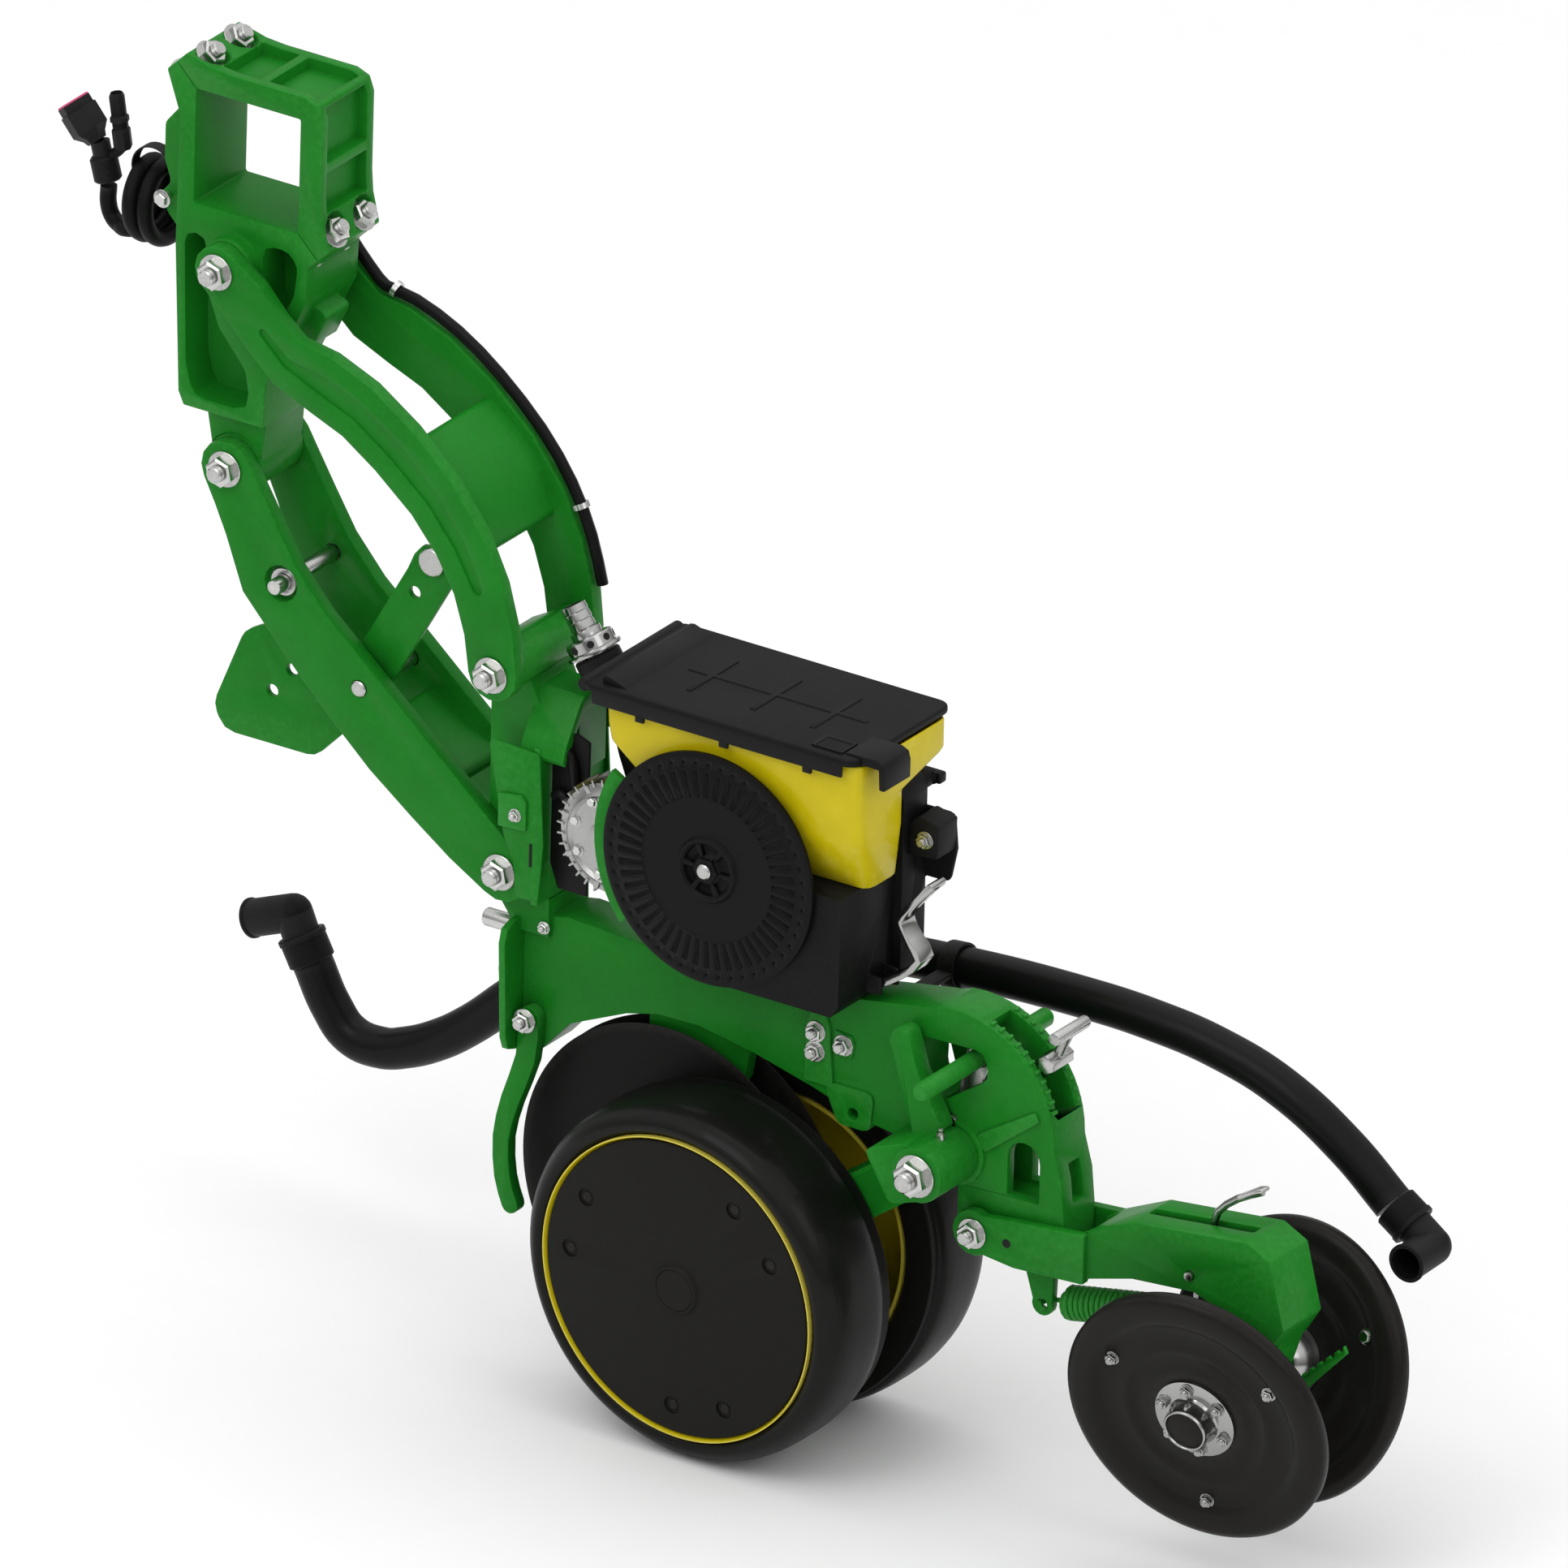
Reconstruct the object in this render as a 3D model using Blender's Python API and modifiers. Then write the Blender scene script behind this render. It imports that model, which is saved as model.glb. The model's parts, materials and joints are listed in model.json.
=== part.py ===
"""Row unit of a corn planter: toolbar head, parallel arms, row frame, seed meter, gauge and closing wheels.

Units are metres. +X runs rearwards from the toolbar, +Y away from the side that the seed plate is on,
and +Z is up. The origin is the centre of the toolbar.
"""

import math

import bmesh
import bpy
from mathutils import Matrix, Vector

# ---------------------------------------------------------------- fits
GAP = 0.0004  # between pieces that touch in the real assembly
RUNNING = 0.0005  # radial clearance of a pin or shaft in its bore

# ---------------------------------------------------------------- toolbar clamp and head
TOOLBAR = 0.127  # square bar that the unit hangs on
BAR_SLACK = 0.0015  # clearance round the bar, each side
HEAD_HALF = 0.050  # half width of the head casting
CLAMP_WALL = 0.020
CAP_WALL = 0.027
CLAMP_LEG = 0.036  # length of the diagonal clamping flanges
FLANGE = 0.017  # thickness of each diagonal flange
CLAMP_BOLT_R = 0.0085
CLAMP_BOLT_Y = 0.026

# ---------------------------------------------------------------- parallel arms
PIVOT_X = -0.012
UPPER_PIVOT_Z = -0.118
PIVOT_RISE = 0.236  # between the upper and lower pivots
ARM_REACH = 0.355  # rearwards from front to rear pivot, with the arms on the down stop
ARM_FALL = 0.366  # and downwards
ARM_BOLT_R = 0.010
UPPER_ARM_OUT = 0.084
LOWER_ARM_OUT = 0.058
ARM_THICK = 0.018

# ---------------------------------------------------------------- row frame
FRAME_HALF = 0.030
CHEEK = 0.013
LINK = (0.343, -0.720)  # lower rear pivot on the row frame's own drawing
QUADRANT = (0.895, -0.865)  # centre of the toothed depth quadrant
QUADRANT_R = 0.128
CRANK_PIN_R = 0.008
GAUGE_PIVOT = (0.903, -0.897)
GAUGE_BOLT_R = 0.012
CLOSING_PIVOT = (0.934, -0.978)
CLOSING_BOLT_R = 0.008

# ---------------------------------------------------------------- ground tools
DISC_CENTRE = (0.535, -1.054)
DISC_R = 0.1905  # 15 in opener discs
DISC_THICK = 0.004
DISC_SPLAY = math.radians(3.0)
DISC_MEET = math.radians(205)  # direction, from the disc's centre, in which the two discs meet
WHEEL_CENTRE = (0.633, -1.087)
WHEEL_Y = 0.087
WHEEL_R = 0.203  # 16 in gauge wheels
WHEEL_WIDTH = 0.114
RIM_R = 0.1725
COVER_R = 0.1700
WHEEL_TOE = math.radians(2.5)
WHEEL_CAMBER = math.radians(2.6)
SPINDLE_R = 0.012
CLOSER_CENTRE = (1.248, -1.085)
CLOSER_Y = 0.086
CLOSER_R = 0.1524  # 12 in closing wheels
CLOSER_TOE = math.radians(4.8)
CLOSER_CAMBER = math.radians(13.9)
CLOSER_HUB_R = 0.042

# ---------------------------------------------------------------- meter and hopper
PLATE_CENTRE = (0.628, -0.624)  # the seed plate's axis
PLATE_R = 0.131
PLATE_Y = -0.1
PLATE_THICK = 0.006
LID_LENGTH = 0.342
LID_HALF = 0.094
LID_X = 0.462  # front edge of the lid
LID_Z = -0.455
LID_THICK = 0.010
HOPPER_WALL = 0.004
HOPPER_HALF = 0.084

# ---------------------------------------------------------------- hose and harness
HOSE_R = 0.0223
HOSE_Y = 0.176
CONDUIT_R = 0.009

for old in list(bpy.data.objects):
    bpy.data.objects.remove(old)
ASSEMBLY = bpy.data.collections.new("corn_planter_row_unit")
CUTTERS = bpy.data.collections.new("cutters")
bpy.context.scene.collection.children.link(ASSEMBLY)
bpy.context.scene.collection.children.link(CUTTERS)


# ================================================================ materials
def finish(name, colour, roughness, metallic=0.0):
    """A material with this base colour, roughness and metallic value."""
    material = bpy.data.materials.new(name)
    material.use_nodes = True
    shader = material.node_tree.nodes["Principled BSDF"]
    shader.inputs["Base Color"].default_value = (*colour, 1)
    shader.inputs["Roughness"].default_value = roughness
    shader.inputs["Metallic"].default_value = metallic
    material.diffuse_color = (*colour, 1)
    return material


GREEN = finish("green_paint", (0.022, 0.210, 0.028), 0.35)
YELLOW = finish("yellow_polymer", (0.680, 0.570, 0.030), 0.45)
YELLOW_PAINT = finish("yellow_paint", (0.720, 0.590, 0.020), 0.35)
BLACK = finish("black_polymer", (0.022, 0.022, 0.022), 0.55)
RUBBER = finish("black_rubber", (0.018, 0.018, 0.020), 0.60)
DARK_STEEL = finish("dark_steel", (0.030, 0.030, 0.030), 0.40, 0.6)
ZINC = finish("bright_zinc", (0.620, 0.610, 0.590), 0.25, 1.0)


# ================================================================ solids
def helper_object(name, mesh):
    """A solid that isn't a part yet: it is shown as wire and never rendered."""
    mesh.shade_smooth()
    mesh.set_sharp_from_angle(angle=math.radians(32))
    obj = bpy.data.objects.new(name, mesh)
    obj.hide_render = True
    obj.display_type = "WIRE"
    CUTTERS.objects.link(obj)
    return obj


def facing(direction):
    """The rotation that turns local +Z to this direction."""
    return Vector((0, 0, 1)).rotation_difference(Vector(direction).normalized()).to_matrix().to_4x4()


def placed(obj, centre, direction=(0, 0, 1)):
    obj.matrix_world = Matrix.Translation(Vector(centre)) @ facing(direction)
    return obj


def curve_to_solid(name, curve_object):
    """The closed mesh of a curve object, with its loose caps welded on."""
    graph = bpy.context.evaluated_depsgraph_get()
    mesh = bpy.data.meshes.new_from_object(curve_object.evaluated_get(graph))
    shape = bmesh.new()
    shape.from_mesh(mesh)
    bmesh.ops.remove_doubles(shape, verts=shape.verts, dist=1e-6)
    bmesh.ops.recalc_face_normals(shape, faces=shape.faces)
    shape.to_mesh(mesh)
    shape.free()
    solid = helper_object(name, mesh)
    solid.matrix_world = curve_object.matrix_world
    bpy.data.objects.remove(curve_object)
    return solid


def add_spline(curve, points, cyclic):
    spline = curve.splines.new("POLY")
    spline.points.add(len(points) - 1)
    for point, place in zip(spline.points, points):
        point.co = (*place, 1)
    spline.use_cyclic_u = cyclic


def plate(name, outline, low, high, across="Y", holes=()):
    """A flat outline between two heights along X, Y or Z, with holes right through it."""
    curve = bpy.data.curves.new(name, "CURVE")
    curve.dimensions = "2D"
    curve.fill_mode = "BOTH"
    curve.extrude = (high - low) / 2
    for ring in (outline, *holes):
        add_spline(curve, [(u, v, 0) for u, v in ring], True)
    flat = bpy.data.objects.new(name, curve)
    CUTTERS.objects.link(flat)
    turn = {
        "X": Matrix(((0, 0, 1, 0), (1, 0, 0, 0), (0, 1, 0, 0), (0, 0, 0, 1))),
        "Y": Matrix.Rotation(math.pi / 2, 4, "X"),
        "Z": Matrix.Identity(4),
    }[across]
    middle = Vector([(low + high) / 2 if axis == across else 0 for axis in "XYZ"])
    flat.matrix_world = Matrix.Translation(middle) @ turn
    bpy.context.view_layer.update()
    return curve_to_solid(name, flat)


def wire(name, route, radius, sides=2):
    """A round bar or tube along the route's points."""
    curve = bpy.data.curves.new(name, "CURVE")
    curve.dimensions = "3D"
    curve.bevel_depth = radius
    curve.bevel_resolution = sides
    curve.use_fill_caps = True
    add_spline(curve, route, False)
    line = bpy.data.objects.new(name, curve)
    CUTTERS.objects.link(line)
    bpy.context.view_layer.update()
    return curve_to_solid(name, line)


def rod(name, start, end, radius, sides=16):
    """A straight round bar between two points; six sides make a hexagon bar."""
    start, end = Vector(start), Vector(end)
    mesh = bpy.data.meshes.new(name)
    shape = bmesh.new()
    bmesh.ops.create_cone(
        shape,
        cap_ends=True,
        segments=sides,
        radius1=radius,
        radius2=radius,
        depth=(end - start).length,
    )
    shape.to_mesh(mesh)
    shape.free()
    return placed(helper_object(name, mesh), (start + end) / 2, end - start)


def block(name, low, high):
    """A box between two corners."""
    mesh = bpy.data.meshes.new(name)
    shape = bmesh.new()
    bmesh.ops.create_cube(shape, size=1)
    low, high = Vector(low), Vector(high)
    bmesh.ops.scale(shape, vec=high - low, verts=shape.verts)
    bmesh.ops.translate(shape, vec=(low + high) / 2, verts=shape.verts)
    shape.to_mesh(mesh)
    shape.free()
    return helper_object(name, mesh)


def turned(name, profile, centre, axis, steps=40, ring=False):
    """A turned solid: (radius, height) points down the outer side, with height along the axis."""
    mesh = bpy.data.meshes.new(name)
    count = len(profile)
    edges = [(i, i + 1) for i in range(count - 1)]
    if ring:
        edges.append((count - 1, 0))
    mesh.from_pydata([(radius, 0, height) for radius, height in profile], edges, [])
    obj = placed(helper_object(name, mesh), centre, axis)
    screw = obj.modifiers.new("turn", "SCREW")
    screw.steps = screw.render_steps = steps
    screw.use_merge_vertices = True
    screw.merge_threshold = 0.00001
    screw.use_smooth_shade = True
    return obj


def lofted_shell(name, levels, wall, corner=0.016):
    """An open-topped box through (z, low x, high x, low y, high y) levels, top first, walls inwards."""
    mesh = bpy.data.meshes.new(name)
    shape = bmesh.new()
    rings = []
    for z, low_x, high_x, low_y, high_y in levels:
        corners = [(low_x, low_y), (high_x, low_y), (high_x, high_y), (low_x, high_y)]
        rings.append([shape.verts.new((x, y, z)) for x, y in rounded(corners, corner, 3)])
    for upper, lower in zip(rings, rings[1:]):
        for i in range(len(upper)):
            j = (i + 1) % len(upper)
            shape.faces.new((upper[i], lower[i], lower[j], upper[j]))
    shape.faces.new(rings[-1])
    bmesh.ops.recalc_face_normals(shape, faces=shape.faces)
    shape.to_mesh(mesh)
    shape.free()
    obj = helper_object(name, mesh)
    skin = obj.modifiers.new("wall", "SOLIDIFY")
    skin.thickness = wall
    skin.offset = -1
    return obj


# ================================================================ outlines
def arc(centre, radius, start, end, steps):
    """Points of an arc in X and Z, with angles in degrees from +X towards +Z."""
    angles = [math.radians(start + (end - start) * i / steps) for i in range(steps + 1)]
    return [(centre[0] + radius * math.cos(a), centre[1] + radius * math.sin(a)) for a in angles]


def circle(centre, radius, steps=16):
    return arc(centre, radius, 0, 360, steps)[:-1]


def rounded(corners, radius, steps=2):
    """The closed outline with each corner rounded, as far as its sides allow."""
    outline = []
    for i, corner in enumerate(corners):
        here = Vector(corner)
        before, after = Vector(corners[i - 1]) - here, Vector(corners[(i + 1) % len(corners)]) - here
        half = before.angle(after) / 2
        reach = min(radius / math.tan(half), before.length * 0.48, after.length * 0.48)
        first, last = here + before.normalized() * reach, here + after.normalized() * reach
        for k in range(steps + 1):
            t = k / steps
            outline.append(tuple(first * (1 - t) ** 2 + here * 2 * t * (1 - t) + last * t**2))
    return outline


def smooth(points, steps):
    """Points of a Catmull-Rom curve through these points, of any dimension."""
    ends = [2 * Vector(points[0]) - Vector(points[1]), *map(Vector, points)]
    ends.append(2 * Vector(points[-1]) - Vector(points[-2]))
    line = []
    for a, b, c, d in zip(ends, ends[1:], ends[2:], ends[3:]):
        for k in range(steps):
            t = k / steps
            line.append(
                b
                + (c - a) * t / 2
                + (a - 2.5 * b + 2 * c - d / 2) * t**2
                + (1.5 * b - a / 2 - 1.5 * c + d / 2) * t**3
            )
    line.append(Vector(points[-1]))
    return [tuple(point) for point in line]


def beside(stations, steps, extra=0):
    """The two sides of a bar through (x, z, half width) stations, left first, each further out by extra."""
    line = smooth(stations, steps)
    left, right = [], []
    for i, (x, z, half) in enumerate(line):
        before, after = line[max(i - 1, 0)], line[min(i + 1, len(line) - 1)]
        side = Vector((before[1] - after[1], after[0] - before[0])).normalized() * (half + extra)
        left.append((x + side.x, z + side.y))
        right.append((x - side.x, z - side.y))
    return left, right


def strap(stations, steps=3, cap=7):
    """The outline of a bar through (x, z, half width) stations, with round ends."""
    left, right = beside(stations, steps)
    outline = right[1:-1]
    for (x, z, half), side, back in ((stations[-1], right[-1], left[-2:0:-1]), (stations[0], left[0], [])):
        start = math.degrees(math.atan2(side[1] - z, side[0] - x))
        outline += arc((x, z), half, start, start + 180, cap) + back
    return outline


# ================================================================ parts and bodies
def carry(obj, carrier):
    """Parents an object to the empty that moves it, where both are now."""
    bpy.context.view_layer.update()
    obj.parent = carrier
    obj.matrix_parent_inverse = carrier.matrix_world.inverted()


def pivot(name, place, carrier=None):
    """An empty on a joint's axis, which carries the pieces that the joint moves."""
    empty = bpy.data.objects.new(name, None)
    empty.empty_display_size = 0.03
    empty.location = place
    ASSEMBLY.objects.link(empty)
    if carrier:
        carry(empty, carrier)
    return empty


def part(name, material, solids, cuts=(), carrier=None):
    """One node: the solids joined, with the cuts taken out, carried by the empty on its joint."""
    obj = solids[0]
    for kind, others in (("UNION", solids[1:]), ("DIFFERENCE", cuts)):
        for other in others:
            step = obj.modifiers.new(kind.lower(), "BOOLEAN")
            step.operation = kind
            step.solver = "EXACT"
            step.object = other
    obj.name = name
    obj.hide_render = False
    obj.display_type = "TEXTURED"
    CUTTERS.objects.unlink(obj)
    ASSEMBLY.objects.link(obj)
    obj.data.materials.append(material)
    if carrier:
        for piece in (*solids, *cuts):
            if piece.parent is None:
                carry(piece, carrier)
    return obj


def through_bolt(name, centre, axis, radius, grip, hexagon, carrier):
    """A bolt about its middle, with a hexagon outside each end of its grip, and its ends standing out."""
    centre, axis = Vector(centre), Vector(axis).normalized()
    end = axis * (grip + hexagon * 1.5)
    solids = [rod(name, centre - end, centre + end, radius, 12)]
    for way in (-1, 1):
        seat = centre + axis * way * (grip + GAP)
        solids.append(rod(name + "_hexagon", seat, seat + axis * way * hexagon * 0.8, hexagon, 6))
    return part(name, ZINC, solids, carrier=carrier)


# ================================================================ shared places
OPENING = TOOLBAR / 2 + BAR_SLACK
UPPER_FRONT = Vector((PIVOT_X, 0, UPPER_PIVOT_Z))
LOWER_FRONT = UPPER_FRONT - Vector((0, 0, PIVOT_RISE))
REACH = Vector((ARM_REACH, 0, -ARM_FALL))
ARM_LENGTH = REACH.length
ALONG = REACH.normalized()
ACROSS = Vector((-ALONG.z, 0, ALONG.x))
UPPER_IN = UPPER_ARM_OUT - ARM_THICK
LOWER_IN = LOWER_ARM_OUT - ARM_THICK
LINK_TOP = (LINK[0], LINK[1] + PIVOT_RISE)
ARM_BORE = ARM_BOLT_R + RUNNING


def on_arm(front, stations):
    """(along, across, ...) stations of an arm as (x, z, ...) places."""
    points = []
    for along, across, *rest in stations:
        place = front + ALONG * along + ACROSS * across
        points.append((place.x, place.z, *rest))
    return points


def y_rod(name, place, low_y, high_y, radius, sides=16):
    """A round bar across the unit at this X and Z."""
    return rod(name, (place[0], low_y, place[1]), (place[0], high_y, place[1]), radius, sides)


# ================================================================ toolbar head
LEG = CLAMP_LEG / math.sqrt(2)
TIP = OPENING + LEG
LUG = FLANGE / math.sqrt(2)
HEAD_OUTLINE = [
    (-OPENING, OPENING),
    (-OPENING, -OPENING),
    (OPENING, -OPENING),
    (TIP, -TIP),
    (TIP - LUG, -TIP - LUG),
    (0.077, -0.145),
    (0.050, -0.205),
    (0.030, -0.250),
    (0.028, -0.300),
    (-0.072, -0.300),
    (-0.079, -0.285),
    (-0.087, -0.118),
    (-OPENING - CLAMP_WALL, 0.030),
    (-TIP - LUG, TIP - LUG),
    (-TIP, TIP),
]
head_cuts = [
    y_rod("head_bore", (PIVOT_X, pivot_z), -0.1, 0.1, ARM_BORE, 12)
    for pivot_z in (UPPER_FRONT.z, LOWER_FRONT.z)
]
POCKETS = (
    [
        (-0.075, -0.100),
        (-0.048, -0.100),
        (-0.050, -0.150),
        (-0.030, -0.200),
        (0.004, -0.240),
        (0.012, -0.286),
        (-0.060, -0.286),
        (-0.070, -0.250),
    ],
    [(0.022, -0.090), (0.055, -0.090), (0.066, -0.105), (0.062, -0.140), (0.038, -0.185), (0.024, -0.155)],
)
HEAD_WEB = 0.007
for pocket in POCKETS:
    for way in (-1, 1):
        low_y, high_y = sorted((way * HEAD_WEB, way * (HEAD_HALF + 0.002)))
        head_cuts.append(plate("pocket", rounded(pocket, 0.018), low_y, high_y))
NECK = [(-0.056, -0.270), (0.026, -0.270), (0.020, -0.345), (-0.042, -0.345)]
BRACKET = [
    (-0.080, 0.045),
    (-0.112, 0.018),
    (-0.133, -0.008),
    (-0.133, -0.050),
    (-0.124, -0.075),
    (-0.138, -0.092),
    (-0.126, -0.112),
    (-0.080, -0.160),
]
STOP_LUG = [(0.040, -0.145), (0.088, -0.165), (0.070, -0.205), (0.030, -0.200)]
part(
    "head_casting",
    GREEN,
    [
        plate("head", HEAD_OUTLINE, -HEAD_HALF, HEAD_HALF),
        plate("neck", NECK, -LOWER_IN + 0.002, LOWER_IN - 0.002),
        y_rod("upper_boss", (PIVOT_X, UPPER_FRONT.z), -UPPER_IN + GAP, UPPER_IN - GAP, 0.030),
        y_rod("lower_boss", (PIVOT_X, LOWER_FRONT.z), -LOWER_IN + GAP, LOWER_IN - GAP, 0.034),
        plate("harness_bracket", rounded(BRACKET, 0.010), -0.004, 0.004),
        plate("stop_lug", rounded(STOP_LUG, 0.006), -0.022, 0.022),
    ],
    head_cuts,
)

CAP_OUT = OPENING + CAP_WALL
CAP_OUTLINE = [
    (-OPENING, OPENING),
    (OPENING, OPENING),
    (OPENING, -OPENING),
    (TIP, -TIP),
    (TIP + LUG, -TIP + LUG),
    (CAP_OUT + 0.002, -0.045),
    (CAP_OUT, -0.020),
    (CAP_OUT, 0.070),
    (CAP_OUT - 0.006, CAP_OUT - 0.006),
    (0.070, CAP_OUT),
    (-0.020, CAP_OUT),
    (-0.045, CAP_OUT + 0.002),
    (-TIP + LUG, TIP + LUG),
    (-TIP, TIP),
]
cap = plate("cap", [(x + GAP, z + GAP) for x, z in CAP_OUTLINE], -HEAD_HALF, HEAD_HALF)
CAP_RIB = 0.013  # thickness of the two side ribs
CAP_FLOOR = 0.014  # wall left under the channel between them
RIB_TOP = CAP_OUT + 0.01
FLOOR = OPENING + CAP_FLOOR
cap_cuts = []
for low, high in ((-0.040, 0.006), (0.018, FLOOR + 0.001)):
    cap_cuts.append(
        block("channel", (low, CAP_RIB - HEAD_HALF, FLOOR), (high, HEAD_HALF - CAP_RIB, RIB_TOP))
    )
    cap_cuts.append(
        block("channel", (FLOOR, CAP_RIB - HEAD_HALF, low), (RIB_TOP, HEAD_HALF - CAP_RIB, high))
    )
DIAGONAL = Vector((1, 0, 1)).normalized()
BOLT_ROOT = OPENING + LEG * 0.58
clamp_bolts = [
    (Vector((-BOLT_ROOT, y, BOLT_ROOT)), Vector((BOLT_ROOT, y, -BOLT_ROOT)))
    for y in (-CLAMP_BOLT_Y, CLAMP_BOLT_Y)
]
number = 0
clamp_holes = []
for pair in clamp_bolts:
    for root in pair:
        number += 1
        grip = FLANGE + 0.003
        through_bolt(f"clamp_bolt_{number}", root, DIAGONAL, CLAMP_BOLT_R, grip, 0.0145, None)
        reach = DIAGONAL * 0.06
        clamp_holes.append(rod("clamp_hole", root - reach, root + reach, CLAMP_BOLT_R + RUNNING, 12))
        for way in (-1, 1):
            seat = root + DIAGONAL * way * grip
            clamp_holes.append(rod("spot_face", seat, seat + DIAGONAL * way * 0.03, 0.0185, 12))
part("clamp_cap", GREEN, [cap], cap_cuts + clamp_holes)
head_part = bpy.data.objects["head_casting"]
for hole in clamp_holes:
    step = head_part.modifiers.new("clamp_hole", "BOOLEAN")
    step.operation = "DIFFERENCE"
    step.object = hole

# ================================================================ harness behind the head
COIL = (-0.1615, 0.030, -0.118)  # centre of the coil, which hangs across the bracket's edge
TAIL_Y = 0.034
COIL_OUT = 0.048
COIL_IN = 0.018
COIL_HALF = 0.018
coil_profile = [
    (COIL_OUT - 0.005, COIL_HALF),
    (COIL_OUT, COIL_HALF - 0.006),
    (COIL_OUT, 0.006 - COIL_HALF),
    (COIL_OUT - 0.005, -COIL_HALF),
    (COIL_IN, -COIL_HALF),
    (COIL_IN, COIL_HALF),
]
part(
    "harness_coil",
    RUBBER,
    [turned("coil", coil_profile, COIL, (1, 0, 0), 32, True)],
)
TAIL_ROUTE = [(-0.197, -0.157), (-0.208, -0.160), (-0.220, -0.155), (-0.2255, -0.142), (-0.2258, -0.1202)]
tail = smooth([(x, TAIL_Y, z) for x, z in TAIL_ROUTE], 3)
part("harness_tail", RUBBER, [wire("tail", tail, CONDUIT_R)])
part(
    "harness_splitter",
    BLACK,
    [
        rod("splitter", (-0.2262, TAIL_Y, -0.1150), (-0.2340, TAIL_Y, -0.0880), 0.015, 16),
        rod("wide_branch", (-0.2330, TAIL_Y, -0.0920), (-0.2400, TAIL_Y, -0.0800), 0.011, 16),
        rod("slim_branch", (-0.2310, TAIL_Y, -0.0960), (-0.2080, TAIL_Y, -0.0670), 0.006, 12),
        rod("small_plug", (-0.2090, TAIL_Y, -0.0720), (-0.2195, TAIL_Y, -0.0120), 0.010, 8),
    ],
)
part(
    "connector_large",
    BLACK,
    [rod("connector_large", (-0.2480, TAIL_Y, -0.0664), (-0.2740, TAIL_Y, -0.0360), 0.021, 8)],
)

# ================================================================ parallel arms
lower_arm = pivot("lower_arm_pivot", LOWER_FRONT)
upper_arm = pivot("upper_arm_pivot", UPPER_FRONT)


def from_rear(stations):
    return [(ARM_LENGTH - back, *rest) for back, *rest in stations]


LOWER_STATIONS = [
    (0, 0, 0.031),
    (0.030, -0.008, 0.032),
    (0.065, -0.018, 0.034),
    (0.120, -0.036, 0.040),
    (0.185, -0.038, 0.039),
    *from_rear(
        [
            (0.242, -0.033, 0.042),
            (0.172, -0.027, 0.043),
            (0.106, -0.018, 0.041),
            (0.050, -0.010, 0.038),
        ]
    ),
    (ARM_LENGTH, 0, 0.034),
]
UPPER_STATIONS = [
    (0, 0, 0.028),
    (0.040, 0.005, 0.031),
    (0.080, 0.0045, 0.0305),
    (0.120, 0.008, 0.032),
    (0.160, 0.030, 0.037),
    (0.205, 0.050, 0.037),
    *from_rear([(0.250, 0.062, 0.037), (0.185, 0.068, 0.0355), (0.129, 0.063, 0.034)]),
    *from_rear([(0.080, 0.049, 0.032), (0.035, 0.026, 0.031)]),
    (ARM_LENGTH, 0, 0.030),
]
SPACER = (0.131, -0.026)  # along and across the lower arm
PIN = (0.268, -0.019)
SPACER_R = 0.009
COUNTERBORE_R = 0.020
COUNTERBORE = 0.009
BRACKET_Y = (-0.030, -0.022)  # the down-force bracket plate


def two_bars(name, front, stations, inner, outer, holes):
    """The near and far bars of an arm, with the same holes."""
    outline = strap(on_arm(front, stations), 1)
    rings = [circle(place, radius, 12) for place, radius in holes]
    return [
        plate(name, outline, -outer, -inner, holes=rings),
        plate(name, outline, inner, outer, holes=rings),
    ]


(spacer_place,) = on_arm(LOWER_FRONT, [SPACER])
(pin_place,) = on_arm(LOWER_FRONT, [PIN])
rear_lower = (LOWER_FRONT.x + REACH.x, LOWER_FRONT.z + REACH.z)
rear_upper = (UPPER_FRONT.x + REACH.x, UPPER_FRONT.z + REACH.z)
lower_bars = two_bars(
    "lower_bar",
    LOWER_FRONT,
    LOWER_STATIONS,
    LOWER_IN,
    LOWER_ARM_OUT,
    [
        ((LOWER_FRONT.x, LOWER_FRONT.z), ARM_BORE),
        (rear_lower, ARM_BORE),
        (spacer_place, SPACER_R + RUNNING),
        (pin_place, SPACER_R + RUNNING),
    ],
)
lower_web = [(0.196, -0.026, 0.009), (0.150, -0.012, 0.009), (0.110, 0.004, 0.010)]
WEB_BITE = 0.002  # how far a web runs into each bar
web_outline = strap(on_arm(LOWER_FRONT, from_rear(lower_web)), 3)
web = plate("lower_web", web_outline, -LOWER_IN - WEB_BITE, LOWER_IN + WEB_BITE)
counterbores = [
    y_rod(
        "counterbore",
        spacer_place,
        way * (LOWER_ARM_OUT - COUNTERBORE),
        way * (LOWER_ARM_OUT + 0.01),
        COUNTERBORE_R,
    )
    for way in (-1, 1)
]
part("lower_arm", GREEN, [lower_bars[0], web, lower_bars[1]], counterbores, lower_arm)
upper_bars = two_bars(
    "upper_bar",
    UPPER_FRONT,
    UPPER_STATIONS,
    UPPER_IN,
    UPPER_ARM_OUT,
    [((UPPER_FRONT.x, UPPER_FRONT.z), ARM_BORE), (rear_upper, ARM_BORE)],
)
upper_web = [(0.236, 0.076, 0.010), (0.172, 0.082, 0.010), (0.116, 0.064, 0.010)]
web_outline = strap(on_arm(UPPER_FRONT, from_rear(upper_web)), 3)
web = plate("upper_web", web_outline, -UPPER_IN - WEB_BITE, UPPER_IN + WEB_BITE)
GROOVE = 0.004  # depth of the groove down each bar's outer face
groove = [(along, across, max(half - 0.026, 0.001)) for along, across, half in UPPER_STATIONS[2:-2]]
groove_outline = strap(on_arm(UPPER_FRONT, groove), 1, 3)
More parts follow.
